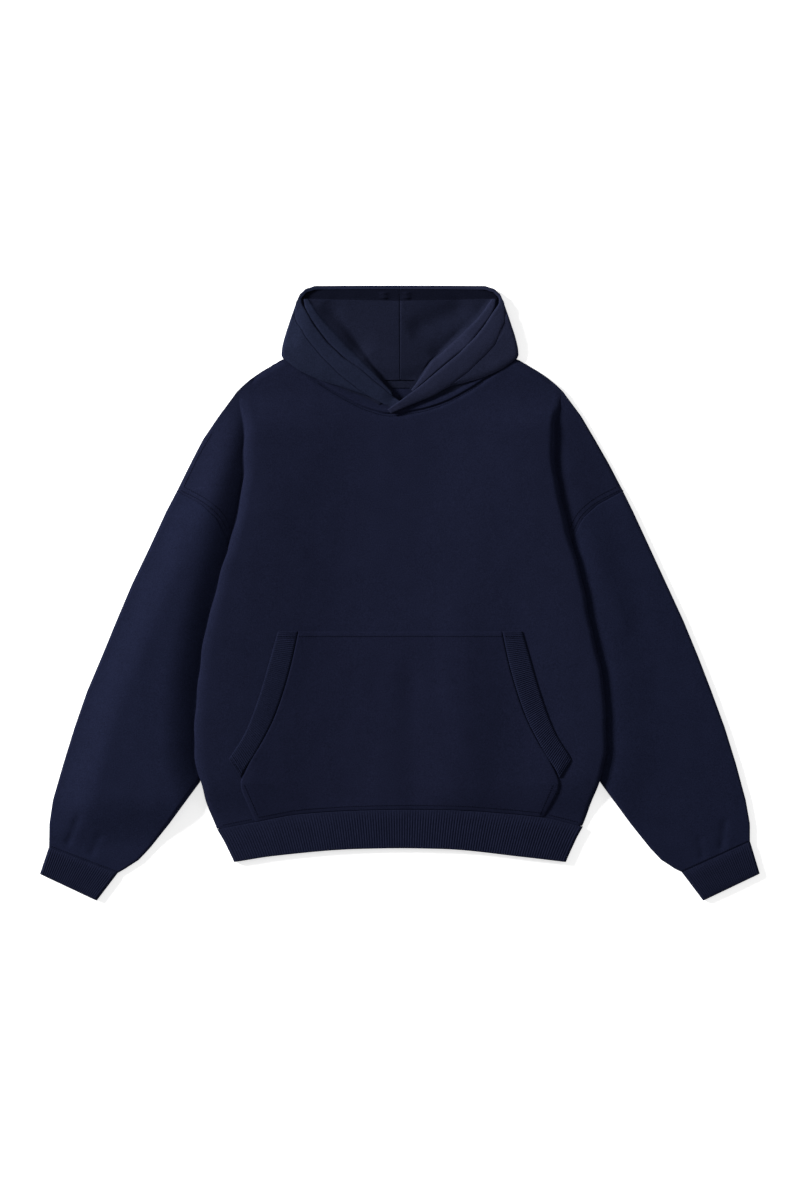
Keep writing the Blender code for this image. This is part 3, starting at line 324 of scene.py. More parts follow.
# How finely a panel's rows and columns are divided, its material, how much its ends are tucked in along rows
# and columns, and the cut's flat width, length and area.
Panel = namedtuple("Panel", "row_steps column_steps look tuck_rows tuck_columns wide long area")
PIECES = {
    "front_panel": Panel(1, 1, "fleece", 1, 0, 0.64, 0.67, 0.400),
    "back_panel": Panel(1, 1, "fleece", 1, 0, 0.64, 0.67, 0.345),
    "sleeve_left": Panel(1, 1, "sleeve", 1, 0, 0.46, 0.56, 0.200),
    "sleeve_right": Panel(1, 1, "sleeve", 1, 0, 0.46, 0.56, 0.200),
    "cuff_left": Panel(5, 1, "rib", 0.6, 0, 0.21, 0.045, 0.0080),
    "cuff_right": Panel(5, 1, "rib", 0.6, 0, 0.21, 0.045, 0.0080),
    "hem_band": Panel(5, 1, "rib", 0.3, 0, 1.02, 0.065, 0.060),
    "pocket_panel": Panel(5, 4, "pocket", 0.6, 0.7, 0.46, 0.27, 0.100),
    "pocket_rib_right": Panel(1, 4, "rib", 1, 1, 0.033, 0.225, 0.0065),
    "pocket_rib_left": Panel(1, 4, "rib", 1, 1, 0.033, 0.225, 0.0065),
    # The hood's side panels and bands take lighter copies of the fleece as painted light, lighter on the
    # left where the light falls.
    "hood_shell_right": Panel(4, 4, "hood_right_painted_light", 0, 0.3, 0.30, 0.19, 0.030),
    "hood_shell_left": Panel(4, 4, "hood_left_painted_light", 0, 0.3, 0.30, 0.19, 0.030),
    "hood_band_right": Panel(4, 4, "hood_right_painted_light", 0.5, 0.4, 0.03, 0.20, 0.0050),
    "hood_band_left": Panel(4, 4, "hood_left_painted_light", 0.5, 0.4, 0.03, 0.22, 0.0055),
    "hood_lining_right": Panel(5, 5, "lining", 0.4, 0.8, 0.17, 0.20, 0.024),
    "hood_lining_left": Panel(5, 5, "lining", 0.4, 0.8, 0.17, 0.20, 0.024),
    "neck_tape": Panel(3, 3, "tape", 0.5, 0.5, 0.20, 0.0105, 0.0021),
}
# Parts of a panel's upper face with another material: rows and columns, from and to, in its own steps.
# Painted shade: a darker copy of the fleece in the trough over the hood's top, where the same cloth lies in
# shade.
PATCHES = {
    # Painted highlight: the hood's lighter copy of the fleece on each lining's roll beside the band.
    "hood_lining_right": (("painted_shade", (10, 20), (0, 99)), ("hood_right_painted_light", (0, 10), (2.5, 6.0))),
    "hood_lining_left": (("painted_shade", (10, 20), (0, 99)), ("hood_left_painted_light", (0, 10), (2.5, 6.0))),
}
# Soft troughs and ridges: from and to, across and height, half width, how high.
CREASES = {
    "front_panel": (
        (-0.056, 0.020, -0.060, -0.380, 0.052, -0.0030),
        (0.016, -0.080, 0.015, -0.380, 0.015, -0.0014),
        (0.102, 0.160, 0.104, -0.380, 0.050, 0.0036),
        (-0.205, 0.140, -0.120, 0.020, 0.016, 0.0007),
        (0.205, 0.120, 0.130, 0.010, 0.016, 0.0006),
    ),
    "sleeve_right": (
        (-0.460, -0.318, -0.480, -0.366, 0.005, -0.0015),
        (-0.430, -0.345, -0.446, -0.380, 0.005, -0.0010),
    ),
    "sleeve_left": (
        (0.270, 0.080, 0.330, -0.060, 0.014, 0.0012),
        (0.468, -0.325, 0.462, -0.372, 0.005, -0.0014),
        (0.430, -0.350, 0.436, -0.384, 0.005, -0.0010),
    ),
    "hood_lining_right": (
        (-0.110, 0.415, -0.050, 0.340, 0.014, -0.0034),
        (-0.0225, 0.433, -0.0225, 0.422, 0.0045, 0.0020),
    ),
    "hood_lining_left": (
        (0.014, 0.374, 0.100, 0.414, 0.015, -0.0034),
        (0.092, 0.374, 0.045, 0.335, 0.011, -0.0022),
        (0.0100, 0.433, 0.0100, 0.422, 0.0045, 0.0020),
    ),
}
WIDE_UNEVEN = 0.00022  # how uneven the cloth is, in wide waves
FINE_UNEVEN = 0.00010  # and in small ones
HEM_FADE = -0.318  # height at which the front's creases have faded towards the hem band
POCKET_TOP_LINE = -0.0632  # height of the needle line along the pocket's top
# How far the other needle lines lie from their seams.
POCKET_LINE = 0.0062
POCKET_CORNER_LINE = {-1: 0.0044, 1: 0.0085}
TRIM_LINES = (0.0030, 0.0075)
NECK_LINE = 0.0040
HEM_LINE = 0.0050
ARMHOLE_LINES = (0.0035, 0.0095)
CUFF_LINE = 0.0024
SHOULDER_LINE = ((-0.271, 0.228), (-0.290, 0.196), (-0.311, 0.152))  # a short one on the right shoulder
STITCH_LENGTH = 0.0029
STITCH_PITCH = 0.0034
STITCH_RADIUS = 0.0006
# Material, base colour in linear light, share of sheen, size of the knit.
LOOKS = (
    ("fleece", (0.0086, 0.0103, 0.0245), 0.012, 0.0011),
    ("sleeve", (0.0086, 0.0106, 0.0256), 0.012, 0.0011),
    ("pocket", (0.0083, 0.0098, 0.0234), 0.012, 0.0011),
    ("rib", (0.0086, 0.0103, 0.0240), 0.012, 0.0011),
    # Painted light: lighter copies of the fleece for the hood, the left one lighter than the right where the
    # light falls.
    ("hood_left_painted_light", (0.0140, 0.0162, 0.0345), 0.014, 0.0011),
    ("hood_right_painted_light", (0.0110, 0.0139, 0.0298), 0.014, 0.0011),
    ("lining", (0.0090, 0.0106, 0.0225), 0.012, 0.0011),
    ("tape", (0.0085, 0.0100, 0.0205), 0.010, 0.0008),
    # Painted shade: a darker copy of the fleece for the hood's deep trough, the same cloth in shade.
    ("painted_shade", (0.0050, 0.0058, 0.0125), 0.006, 0.0011),
    ("thread", (0.0046, 0.0056, 0.0130), 0.010, 0.0006),
)
# Lamp, place, width and power.
LIGHTS = (
    ("key", (-5.0, 2.4, 2.5), 1.3, 750.0),
    ("side", (5.0, 1.6, 2.4), 2.4, 36.0),
    ("top", (0.0, 1.5, 5.5), 3.0, 16.0),
)
PAPER = {
    "Base Color": (0.93, 0.93, 0.93, 1.0),
    "Roughness": 0.9,
    "Emission Color": (1.0, 1.0, 1.0, 1.0),
    "Emission Strength": 0.6,
}
NAP = {
    "Roughness": 0.92,
    "Specular IOR Level": 0.0,
    "Sheen Roughness": 0.3,
    "Sheen Tint": (0.35, 0.42, 0.75, 1.0),
}
FLOOR_Z = -0.0003
FLOOR_HALF = 20.0
CAMERA_UP = 3.5
CAMERA_Y = -0.0108
SENSOR = 36.0  # millimetres, along the picture's height
FRAME_HEIGHT = 1.728  # what the picture shows at the level PICTURE_Z
PICTURE_Z = 0.004
MATERIALS = {}


def slope(before, after):
    """A slope between two steps that never overshoots."""
    return 2 * before * after / (before + after) if before * after > 0 else 0.0


def at(table, where, column=1, key=0):
    """One column of a table, smoothly between its rows, which are in order of their key column."""
    rows = table if table[0][key] <= table[-1][key] else table[::-1]
    last = len(rows) - 1
    k = 0
    while k < last - 1 and where > rows[k + 1][key]:
        k += 1
    wide = rows[k + 1][key] - rows[k][key]
    share = min(max((where - rows[k][key]) / wide, 0.0), 1.0)
    step = (rows[k + 1][column] - rows[k][column]) / wide
    start = end = step
    if k > 0:
        before = (rows[k][column] - rows[k - 1][column]) / (rows[k][key] - rows[k - 1][key])
        start = slope(before, step)
    if k < last - 1:
        after = (rows[k + 2][column] - rows[k + 1][column]) / (rows[k + 2][key] - rows[k + 1][key])
        end = slope(step, after)
    a, b = share, share * share
    c = b * share
    value = rows[k][column] * (2 * c - 3 * b + 1) + rows[k + 1][column] * (3 * b - 2 * c)
    return value + wide * (start * (c - 2 * b + a) + end * (c - b))


def finer(grid, where, axis):
    """A grid of points at other places along one axis, counted in its steps, smooth, without overshoot."""
    grid = np.moveaxis(np.asarray(grid, float), axis, 0)
    changes = np.diff(grid, axis=0)
    slopes = np.zeros_like(grid)
    a, b = changes[:-1], changes[1:]
    same = a * b > 0
    slopes[1:-1] = np.where(same, 2 * a * b / np.where(same, a + b, 1.0), 0.0)
    slopes[0], slopes[-1] = changes[0], changes[-1]
    where = np.clip(np.asarray(where, float), 0, len(grid) - 1)
    k = np.minimum(where.astype(int), len(grid) - 2)
    t = (where - k).reshape((-1,) + (1,) * (grid.ndim - 1))
    h1, h2 = 2 * t**3 - 3 * t**2 + 1, t**3 - 2 * t**2 + t
    h3, h4 = 3 * t**2 - 2 * t**3, t**3 - t**2
    out = h1 * grid[k] + h2 * slopes[k] + h3 * grid[k + 1] + h4 * slopes[k + 1]
    return np.moveaxis(out, 0, axis)


def places(count, each):
    """Where a grid of so many rows is sampled: each step divided, and closer together at the ends."""
    last = count - 1
    inner = [k / each for k in range(last * each + 1)]
    return sorted({*inner, *END_STEPS, *(last - k for k in END_STEPS)})


def finely(rows, each):
    """Table rows or numbers with every step divided into equal parts."""
    out = []
    for a, b in zip(rows, rows[1:]):
        for k in range(each):
            out.append(mix(a, b, k / each) if isinstance(a, tuple) else a + (b - a) * k / each)
    return out + [rows[-1]]


def along(path, share):
    """The point at a share of a path's length."""
    lengths = [math.dist(a, b) for a, b in zip(path, path[1:])]
    left = min(max(share, 0.0), 1.0) * sum(lengths)
    for a, b, length in zip(path, path[1:], lengths):
        if left <= length:
            return mix(a, b, left / length)
        left -= length
    return tuple(path[-1])


def mix(a, b, share):
    """The point at a share of the way from one point to another."""
    return tuple(p + share * (q - p) for p, q in zip(a, b))


def ease(share):
    """From 0 to 1 with level ends."""
    share = min(max(share, 0.0), 1.0)
    return share * share * (3 - 2 * share)


def steps(count, low=0.0, high=1.0):
    """Numbers at equal steps from low to high."""
    return [low + (high - low) * k / (count - 1) for k in range(count)]


def edge_steps(count, low=0.0, high=1.0):
    """Steps that are closer together at both ends."""
    return [low + (high - low) * (0.5 - 0.5 * math.cos(math.pi * k / (count - 1))) for k in range(count)]


def quads(rows, columns, start, flip, closed=False):
    """Faces over a grid of points, row after row."""
    faces = []
    across = columns if closed else columns - 1
    for r in range(rows - 1):
        for c in range(across):
            d = (c + 1) % columns
            face = [
                start + r * columns + c,
                start + r * columns + d,
                start + (r + 1) * columns + d,
                start + (r + 1) * columns + c,
            ]
            faces.append(face[::-1] if flip else face)
    return faces


def crease_height(name, points):
    """How far the soft creases and the cloth's slight unevenness raise each point."""
    x, y = points[..., 0], points[..., 1]
    across = np.sin(x / 0.021 + 1.3 * np.sin(y / 0.050))
    high = WIDE_UNEVEN * across * np.sin(y / 0.033 + 0.8 * np.sin(x / 0.037))
    high += FINE_UNEVEN * np.sin(x / 0.0083 + y / 0.013) * np.sin(y / 0.0107 - x / 0.019)
    key = "front_panel" if name.startswith("pocket") else name
    for x0, y0, x1, y1, half, raised in CREASES.get(key, ()):
        dx, dy = x1 - x0, y1 - y0
        share = ((x - x0) * dx + (y - y0) * dy) / (dx * dx + dy * dy)
        inside = np.clip(share, 0, 1)
        off = np.hypot(x - x0 - inside * dx, y - y0 - inside * dy)
        bend = 1 + 0.25 * np.sin(9 * share + 40 * half)
        fade = np.clip(1.25 - 1.1 * np.abs(2 * share - 1) ** 3, 0, 1)
        high += raised * bend * fade * np.exp(-((off / half) ** 2))
    if key == "front_panel":
        above = np.clip((y - HEM_FADE) / 0.030, 0, 1)
        high *= 0.25 + 0.75 * above * above * (3 - 2 * above)
    return high


def placed(name, data):
    """A new object in the scene."""
    thing = bpy.data.objects.new(name, data)
    bpy.context.collection.objects.link(thing)
    return thing


def smooth_mesh(name, points, faces):
    """A new mesh with smooth shading."""
    mesh = bpy.data.meshes.new(name)
    mesh.from_pydata(points, [], faces)
    mesh.update()
    mesh.polygons.foreach_set("use_smooth", [True] * len(mesh.polygons))
    return mesh


def fill(node, values):
    """Set some of a node's inputs."""
    for key, value in values.items():
        node.inputs[key].default_value = value


def show(name, points, faces, down=None, across=None):
    """A panel in place of the CAD node of its name."""
    points[:, 2] = np.maximum(points[:, 2], 0.0)
    mesh = smooth_mesh(name, points.tolist(), faces)
    piece = placed(name + "_cloth", mesh)
    look = PIECES[name].look
    mesh.materials.append(MATERIALS[look])
    if down is not None:
        for second, (row_low, row_high), (column_low, column_high) in PATCHES.get(name, ()):
            mesh.materials.append(MATERIALS[second])
            for r, row in enumerate(down[:-1]):
                for c, column in enumerate(across[:-1]):
                    if row_low <= row < row_high and column_low <= column < column_high:
                        index = r * (len(across) - 1) + c
                        mesh.polygons[index].material_index = len(mesh.materials) - 1
    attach(piece, "root")
    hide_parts(name)
    return piece


def turned_out(points, faces):
    """The faces, turned over as a whole if they point inwards."""
    volume = 0.0
    for corners in ([0, 1, 2], [0, 2, 3]):
        a, b, c = points[np.array(faces)[:, corners]].transpose(1, 0, 2)
        volume += float((a * np.cross(b, c)).sum())
    return [face[::-1] for face in faces] if volume < 0 else faces


def closed_wall(name, uppers, lowers):
    """Points and faces of a closed wall between two grids of the same size, divided more finely."""
    panel = PIECES[name]
    down = places(len(uppers), panel.row_steps)
    across = places(len(uppers[0]), panel.column_steps)
    upper = finer(finer(uppers, down, 0), across, 1)
    lower = finer(finer(lowers, down, 0), across, 1)
    rows, columns = upper.shape[:2]
    base = lower[..., 2].copy()
    wrapped = upper[..., 2] < base
    lift = crease_height(name, upper) * np.clip(upper[..., 2] / 0.005, 0, 1)
    upper[..., 2] += lift
    lower[..., 2] = np.maximum(base + np.minimum(lift, 0.0), np.minimum(base, LOWEST_TROUGH))
    for k, tuck in enumerate(PANEL_TUCKS):
        for end in (k, -1 - k):
            upper[end, :, 2] -= tuck * panel.tuck_rows
            upper[:, end, 2] -= tuck * panel.tuck_columns
    upper[..., 2] = np.where(wrapped, upper[..., 2], np.maximum(upper[..., 2], lower[..., 2] + 0.0004))
    points = np.concatenate([upper.reshape(-1, 3), lower.reshape(-1, 3)])
    half = rows * columns
    rim = list(range(columns))
    rim += [r * columns + columns - 1 for r in range(1, rows)]
    rim += [(rows - 1) * columns + c for c in range(columns - 2, -1, -1)]
    rim += [r * columns for r in range(rows - 2, 0, -1)]
    faces = quads(rows, columns, 0, False) + quads(rows, columns, half, True)
    for a, b in zip(rim, rim[1:] + rim[:1]):
        faces.append([b, a, half + a, half + b])
    return points, turned_out(points, faces), down, across


def wall(name, uppers, lowers, more=None):
    """A panel of one closed wall, or of two where more holds a second pair of grids."""
    points, faces, down, across = closed_wall(name, uppers, lowers)
    if more:
        more_points, more_faces = closed_wall(name, *more)[:2]
        start = len(points)
        points = np.concatenate([points, more_points])
        first = len(faces)
        faces += [[start + k for k in face] for face in more_faces]
    show(name, points, faces, down, across)
    if more:
        mesh = bpy.data.objects[name + "_cloth"].data
        mesh.materials.append(MATERIALS["fleece"])
        for face in mesh.polygons[first:]:
            face.material_index = len(mesh.materials) - 1


def layers(rows):
    """A panel's upper and lower grid from rows of points, each across, along, top and underside."""
    uppers = [[(x, y, top) for x, y, top, _ in row] for row in rows]
    lowers = [[(x, y, low) for x, y, _, low in row] for row in rows]
    return uppers, lowers


def tube(name, outer, inner):
    """A closed wall between two tubes, open at the ends, divided more finely along."""
    down = places(len(outer), PIECES[name].row_steps)
    skin = finer(outer, down, 0)
    hollow = finer(inner, (0, 1) if len(inner) == 2 else down, 0)
    rows, columns = skin.shape[:2]
    lift = crease_height(name, skin)
    top = skin[..., 2] > 0.0045
    skin[..., 2] += np.where(top, lift, 0.0)
    for k, tuck in enumerate(TUBE_TUCKS):
        for row in (k, -1 - k):
            skin[row, :, 2] -= np.where(top[row], tuck * PIECES[name].tuck_rows, 0.0)
    points = np.concatenate([skin.reshape(-1, 3), hollow.reshape(-1, 3)])
    start = rows * columns
    faces = quads(rows, columns, 0, False, True) + quads(len(hollow), columns, start, True, True)
    last_outer = start - columns
    last_inner = start + (len(hollow) - 1) * columns
    for c in range(columns):
        d = (c + 1) % columns
        faces.append([d, c, start + c, start + d])
        faces.append([last_outer + c, last_outer + d, last_inner + d, last_inner + c])
    show(name, points, turned_out(points, faces))


def half_column(x):
    """Which column of a table holds the half width on this side."""
    return 1 if x < 0 else 2


def side_fold(y, side):
    """Half width of the body at its side fold, which waves a little."""
    wave = sum(far * math.sin(y / pitch + phase * side) for far, pitch, phase in FOLD_WAVES)
    return at(SIDE, y, half_column(side)) + wave * ease((0.27 - y) / 0.04)


def ramp(x, y):
    """From 0 on the middle of the body to 1 on what its side folds lie on."""
    return ease((abs(x) - at(UNDER_SIDE, y) - RAMP[0][0]) / (RAMP[-1][0] - RAMP[0][0]))


def under_lift(x, y):
    """How far the back panel is raised by the sleeve under it."""
    return BACK_LIFT * ramp(x, y) if y < UNDERARM_Y else 0.0


def front_lift(x, y):
    """How far the front is raised towards its side folds, in one wide soft slope."""
    fold = at(SIDE, y, half_column(x))
    across = ease((abs(x) - fold + SLOPE_START) / SLOPE_WIDE)
    return FRONT_RISE * across * ease((FRONT_ROWS[-1] - y) / 0.060) * ease((y + 0.335) / 0.075)


def front_top(x, y):
    """Height of the front's outer face, without the drop beyond its side folds."""
    height = ON_BACK + CLOTH + front_lift(x, y)
    crown = math.cos(math.pi / 2 * min(abs(x) / 0.24, 1.0)) * ease((0.30 - y) / 0.08)
    height += FRONT_CROWN * crown
    for across, top, bottom, half, high in FRONT_FOLDS:
        fade = ease((top - y) / 0.09) * ease((y - bottom) / 0.04 + 0.4)
        height += high * fade * math.exp(-(((x - across) / half) ** 2))
    return max(height, CLOTH + LIE + CLOTH)


def body_columns(y, edge, middle):
    """Where a row of the back's points lies across it, to one side: shares of the middle, then the ramp."""
    last = edge - LAST_COLUMNS
    start = min(at(UNDER_SIDE, y) + RAMP[0][0], last)
    columns = [share * start for share in middle]
    for k, (offset, _) in enumerate(finely(RAMP, 4)):
        columns.append(min(at(UNDER_SIDE, y) + offset, last + COLUMN_GAP * k))
    return columns


def cap_paths():
    """For each side, the shoulder's edge from the visible foot of the armhole seam up to its top."""
    paths = {}
    for side in HANDS:
        column = half_column(side)
        seam = [(at(ARMHOLE, CAP_FOOT, 0, 1), CAP_FOOT)] + list(ARMHOLE[3::-1])
        edge = [(row[column], row[0]) for row in OUTLINE if 0.15 < row[0] < 0.292][::-1]
        paths[side] = seam + edge
    return paths


def seam_shares(path):
    """Where the corners of the armhole seam lie, as shares of a shoulder's edge."""
    lengths = [math.dist(a, b) for a, b in zip(path, path[1:])]
    return [sum(lengths[: k + 1]) / sum(lengths) for k in range(4)]


def puff(x, y):
    """How far the sleeves and shoulders bulge beside the body's side folds, falling off to the outline."""
    column = half_column(x)
    half = abs(x)
    high, rising, falling = PUFF[column - 1]
    off = half - at(SIDE, y, column)
    beside = math.sin(math.pi / 2 * min(max(off / rising, 0.0), 1.0)) * (1 - ease((off - rising) / falling))
    outside = ease((at(OUTLINE, y, column) - half) / PUFF_FALL + 0.08)
    return high * beside * outside * ease((0.310 - y) / 0.080) * ease((y + 0.37) / 0.08)


def shoulder_cap(fold, far, y, top, on_seam):
    """A row's points beyond the side fold where the front covers the shoulder: outer face, then inner."""
    level = ON_BACK + CLOTH
    side = 1 if far[0] > 0 else -1
    start = fold + CAP_START
    end = max(abs(far[0]) + (0.0008 if on_seam else 0.0), start + 0.0005)
    foot = level + puff(side * start, y)
    outside, inside = [], []
    for turn in steps(EDGE_TURNS):
        angle = turn * math.pi / 2
        x = start - (EDGE_WIDTH[side] + CAP_START) * (1 - math.sin(angle))
        outside.append((x, y, top + (foot - top) * (1 - math.cos(angle))))
        inside.append((x, y, ON_BACK))
    for share in CAP_SHARES[1:]:
        x, here = start + share * (end - start), y + share * (far[1] - y)
        z = level + puff(side * x, here)
        if share > CAP_BEND:
            drop = SEAM_DROP if on_seam else CAP_DROP
            z -= drop * ((share - CAP_BEND) / (1 - CAP_BEND)) ** 2
        outside.append((x, here, z))
        inside.append((x, here, ON_BACK))
    return outside, inside


def folded_edge(fold, y, top, wraps, side):
    """A row's points at a free side fold, which wraps the back panel below the underarm."""
    bottom = under_lift(fold, y) if wraps else SLEEVE_TOP + LIE
    high = top - bottom
    outside, inside = [], []
    for turn in steps(EDGE_TURNS):
        angle = turn * math.pi / 2
        x = fold - EDGE_WIDTH[side] * (1 - math.sin(angle))
        outside.append((x, y, top - ROUND_SHARE * high * (1 - math.cos(angle))))
    for k in steps(len(CAP_SHARES))[1:]:
        outside.append((fold - 0.0015 * k * k, y, top - (ROUND_SHARE + (1 - ROUND_SHARE) * k) * high))
    head = top - CLOTH - 0.002
    for k in steps(EDGE_TURNS + len(CAP_SHARES) - 1):
        if wraps:
            inside.append((fold - CLOTH - 0.002 * (1 - k), y, head - k * (head - bottom)))
        else:
            inside.append((fold - 0.0040 + 0.0007 * k, y, bottom))
    return outside, inside


def front_head(x):
    """Height of the front's upper edge: the neckline, then the shoulder."""
    half = abs(x)
    edge = at(NECKLINE, x) if half < NECKLINE[-1][0] else at(OUTLINE, min(half, SHOULDER_END), 0, 1)
    return edge - 0.0004


def front_middle(height, level, fold, side):
    """A row's points from the middle out to one side fold's rounding: outer face, then inner face."""
    outside, inside = [], []
    for share in steps(46):
        x = side * share * (fold - EDGE_WIDTH[side] - CAP_START)
        low = at(HEM_SEAM, x) - HEM_LAP
        y = low + level * (front_head(x) - low)
        z = front_top(x, y)
        z_low = z - CLOTH
        if height > FREE_TOP and ramp(x, y) > 0.0:
            z_low = min(ON_BACK, z_low)
        elif WRAP_TOP < height <= FREE_TOP:
            z_low = min(SLEEVE_TOP + LIE, z_low)
        outside.append((x, y, z - NECK_DROP * ease((level - 0.985) / 0.015)))
        inside.append((x, y, z_low))
    return outside, inside


def front_side(height, level, fold, path, side):
    """A row's points at one side fold and beyond it: outer face, then inner face."""
    low = at(HEM_SEAM, side * 0.2555) - HEM_LAP
    head = FRONT_ROWS[-1]
    y = low + level * (head - low)
    top = front_top(side * fold, y)
    share = (height - CAP_FOOT) / (head - CAP_FOOT)
    if share > 0.0:
        far = along(path, share)
        on_seam = share <= seam_shares(path)[-1]
        outside, inside = shoulder_cap(fold, (side * far[0], far[1]), y, top, on_seam)
    else:
        outside, inside = folded_edge(fold, y, top, height <= WRAP_TOP, side)
    for points in (outside, inside):
        for k in range(EDGE_TURNS):
            x, _, z = points[k]
            here = low + level * (front_head(x) - low)
            change = front_top(side * min(x, fold), here) - top if points is outside else 0.0
            points[k] = (x, here, z + change * (1 - k / EDGE_TURNS))
    return [(side * x, y, z) for x, y, z in outside], [(side * x, y, z) for x, y, z in inside]


def front_panel():
    """The front body, in rows from the hem's seam up to the neckline and the shoulders."""
    paths = cap_paths()
    foot, head = FRONT_ROWS[0], FRONT_ROWS[-1]
    shares = [share for path in paths.values() for share in seam_shares(path)]
    corners = [CAP_FOOT + share * (head - CAP_FOOT) for share in shares]
    uppers, lowers = [], []
    for height in sorted(finely(FRONT_ROWS, 5) + corners):
        level = (height - foot) / (head - foot)
        halves = {}
        for side in HANDS:
            fold = side_fold(height, side)
            middle = front_middle(height, level, fold, side)
            beyond = front_side(height, level, fold, paths[side], side)
            halves[side] = [inner + outer for inner, outer in zip(middle, beyond)]
        uppers.append(halves[-1][0][:0:-1] + halves[1][0])
        lowers.append(halves[-1][1][:0:-1] + halves[1][1])
    wall("front_panel", uppers, lowers)


def back_panel():
    """The back body, which the sleeves raise below the underarms."""
    low, high = BACK_ROWS[0], BACK_ROWS[-1]
    rows = []
    middle = finely(BACK_MIDDLE, 10)
    for height in finely(BACK_ROWS, 4):
        share = (height - low) / (high - low)
        edge = at(BACK_EDGE, height)
        fold = side_fold(height, -1) if height < UNDERARM_Y - 0.007 else edge
        columns = body_columns(height, fold, middle) + [edge]
        row = []
        for x in [-x for x in columns[:0:-1]] + columns:
            bottom = at(HEM_SEAM, x) - HEM_LAP
            top = at(BACK_NECKLINE, x) - SEAM
            y = height + (bottom - low) * (1 - share) ** 8 + (top - high) * share**8
            z = under_lift(x, height)
            row.append((x, y, z + CLOTH, z))
        rows.append(row)
    wall("back_panel", *layers(rows))


def sleeve(name, side):
    """A sleeve as a flat tube from the armhole seam to the cuff, puffed up beside the body."""
    column = half_column(side)
    outer_edge = [ARMHOLE[0]] + [(row[column], row[0]) for row in OUTLINE if -0.35 < row[0] < 0.14]
    outer_edge += [CUFF[side][0]]
    inner_edge = [(0.2385, -0.116)] + list(SLEEVE_INNER[1:]) + [CUFF[side][1]]
    front = [inner_edge[0], *ARMHOLE[-2:0:-1], outer_edge[0]]
    back = [(half - 0.0012, height + 0.0012) for height, half in BACK_EDGE if -0.05 < height < 0.14][::-1]
    back = [inner_edge[0], *back, outer_edge[0]]

    def place(seam, share, v):
        """The point at a share of the length and of the width, bowed along the armhole seam near it."""
        start, end = along(inner_edge, share), along(outer_edge, share)
        x, y = mix(start, end, v)
        if share < 0.35:
            fade = (1 - share / 0.35) ** 2
            straight = mix(inner_edge[0], outer_edge[0], v)
            bowed = along(seam, v)
            x += fade * (bowed[0] - straight[0])
            y += fade * (bowed[1] - straight[1])
        return x, y

    outer, inner = [], []
    for share in finely((0.0, 0.03, 0.08, 0.16, 0.26, 0.37, 0.48, 0.59, 0.70, 0.80, 0.89, 0.96, 1.0), 8):
        width = math.dist(along(inner_edge, share), along(outer_edge, share))
        level = SEAM_HIGH + (SLEEVE_TOP - SEAM_HIGH) * min(share / 0.03, 1.0)
        ring, hollow = [], []
        for v, rise in finely(RING_UPPER, 5):
            x, y = place(front, share, v)
            top = level + puff(side * x, y)
            ring.append((side * x, y, top / 2 + top / 2 * rise))
            x, y = place(front, share, within(v, width))
            hollow.append((side * x, y, top / 2 + (top / 2 - CLOTH) * rise))
        for v, rise in finely(RING_LOWER, 4):
            x, y = place(back, share, v)
            ring.append((side * x, y, level / 2 * (1 - rise)))
            x, y = place(back, share, within(v, width))
            hollow.append((side * x, y, level / 2 - (level / 2 - CLOTH) * rise))
        outer.append(ring)
        inner.append(hollow)
    tube(name, outer, inner)


def within(v, width):
    """A share of a tube's width, moved in by the wall at both edges."""
    wall_share = CLOTH / width
    return wall_share + v * (1 - 2 * wall_share)


def ribbed_ring(start, end, ribs, level, raised):
    """A flattened ring from one side edge to the other and back below, with ribs on its upper half."""
    width = math.dist(start, end)
    margin = RIB_MARGIN / width
    points = [(0.0, 0.0), (0.25 * margin, 0.72), (0.7 * margin, 0.97)]
    for rib in range(ribs):
        for k, high in RIB_PROFILE:
            v = margin + (1 - 2 * margin) * (rib + k) / ribs
            points.append((v, 1.0 + high * raised / (level / 2)))
    points += [(1 - 0.7 * margin, 0.97), (1 - 0.25 * margin, 0.72), (1.0, 0.0)]
    points += [(1 - 0.25 * margin, -0.72)]
    points += [(v, -1.0) for v in steps(POINTS_BELOW, 1 - margin, margin)]
    points += [(0.25 * margin, -0.72)]
    return [(*mix(start, end, v), level / 2 * (1 + rise)) for v, rise in points]


def shrunk(ring, start, end, level):
    """The plain inside of a ribbed ring."""
    width = math.dist(start, end)
    hollow = []
    for x, y, z in ring:
        v = math.dist((x, y), start) / width
        rise = min(max(z / (level / 2) - 1, -1.0), 1.0)
        x, y = mix(start, end, within(v, width))
        hollow.append((x, y, level / 2 + (level / 2 - CLOTH) * rise))
    return hollow


def cuff(name, side):
    """A ribbed cuff as a flat tube from its seam to its edge."""
    seam_out, seam_in, edge_out, edge_in = [(side * x, y) for x, y in CUFF[side]]
    outer, inner = [], []
    for share, level, raised in CUFF_RINGS:
        start, end = mix(seam_in, edge_in, share), mix(seam_out, edge_out, share)
        ring = ribbed_ring(start, end, CUFF_RIBS, level, raised)
        outer.append(ring)
        if share in (0.0, 1.0):
            inner.append(shrunk(ring, start, end, level))
    tube(name, outer, inner)


def bent(ring, share, half):
    """A straight ring of the hem band, bent to the way between the band's seam and its edge."""
    points = []
    for x, _, z in ring:
        seam = at(HEM_SEAM, x / half * HEM_RINGS[0][1])
        edge = at(HEM_EDGE, x / half * HEM_RINGS[-1][1])
        points.append((x, seam + share * (edge - seam), z))
    return points


def hem_band():
    """The ribbed hem band as one flat tube round the front and the back."""
    outer, inner = [], []
    for share, half, level, raised in HEM_RINGS:
        start, end = (-half, 0.0), (half, 0.0)
        ring = ribbed_ring(start, end, HEM_RIBS, level, raised)
        outer.append(bent(ring, share, half))
        if share in (0.0, 1.0):
            inner.append(bent(shrunk(ring, start, end, level), share, half))
    tube("hem_band", outer, inner)


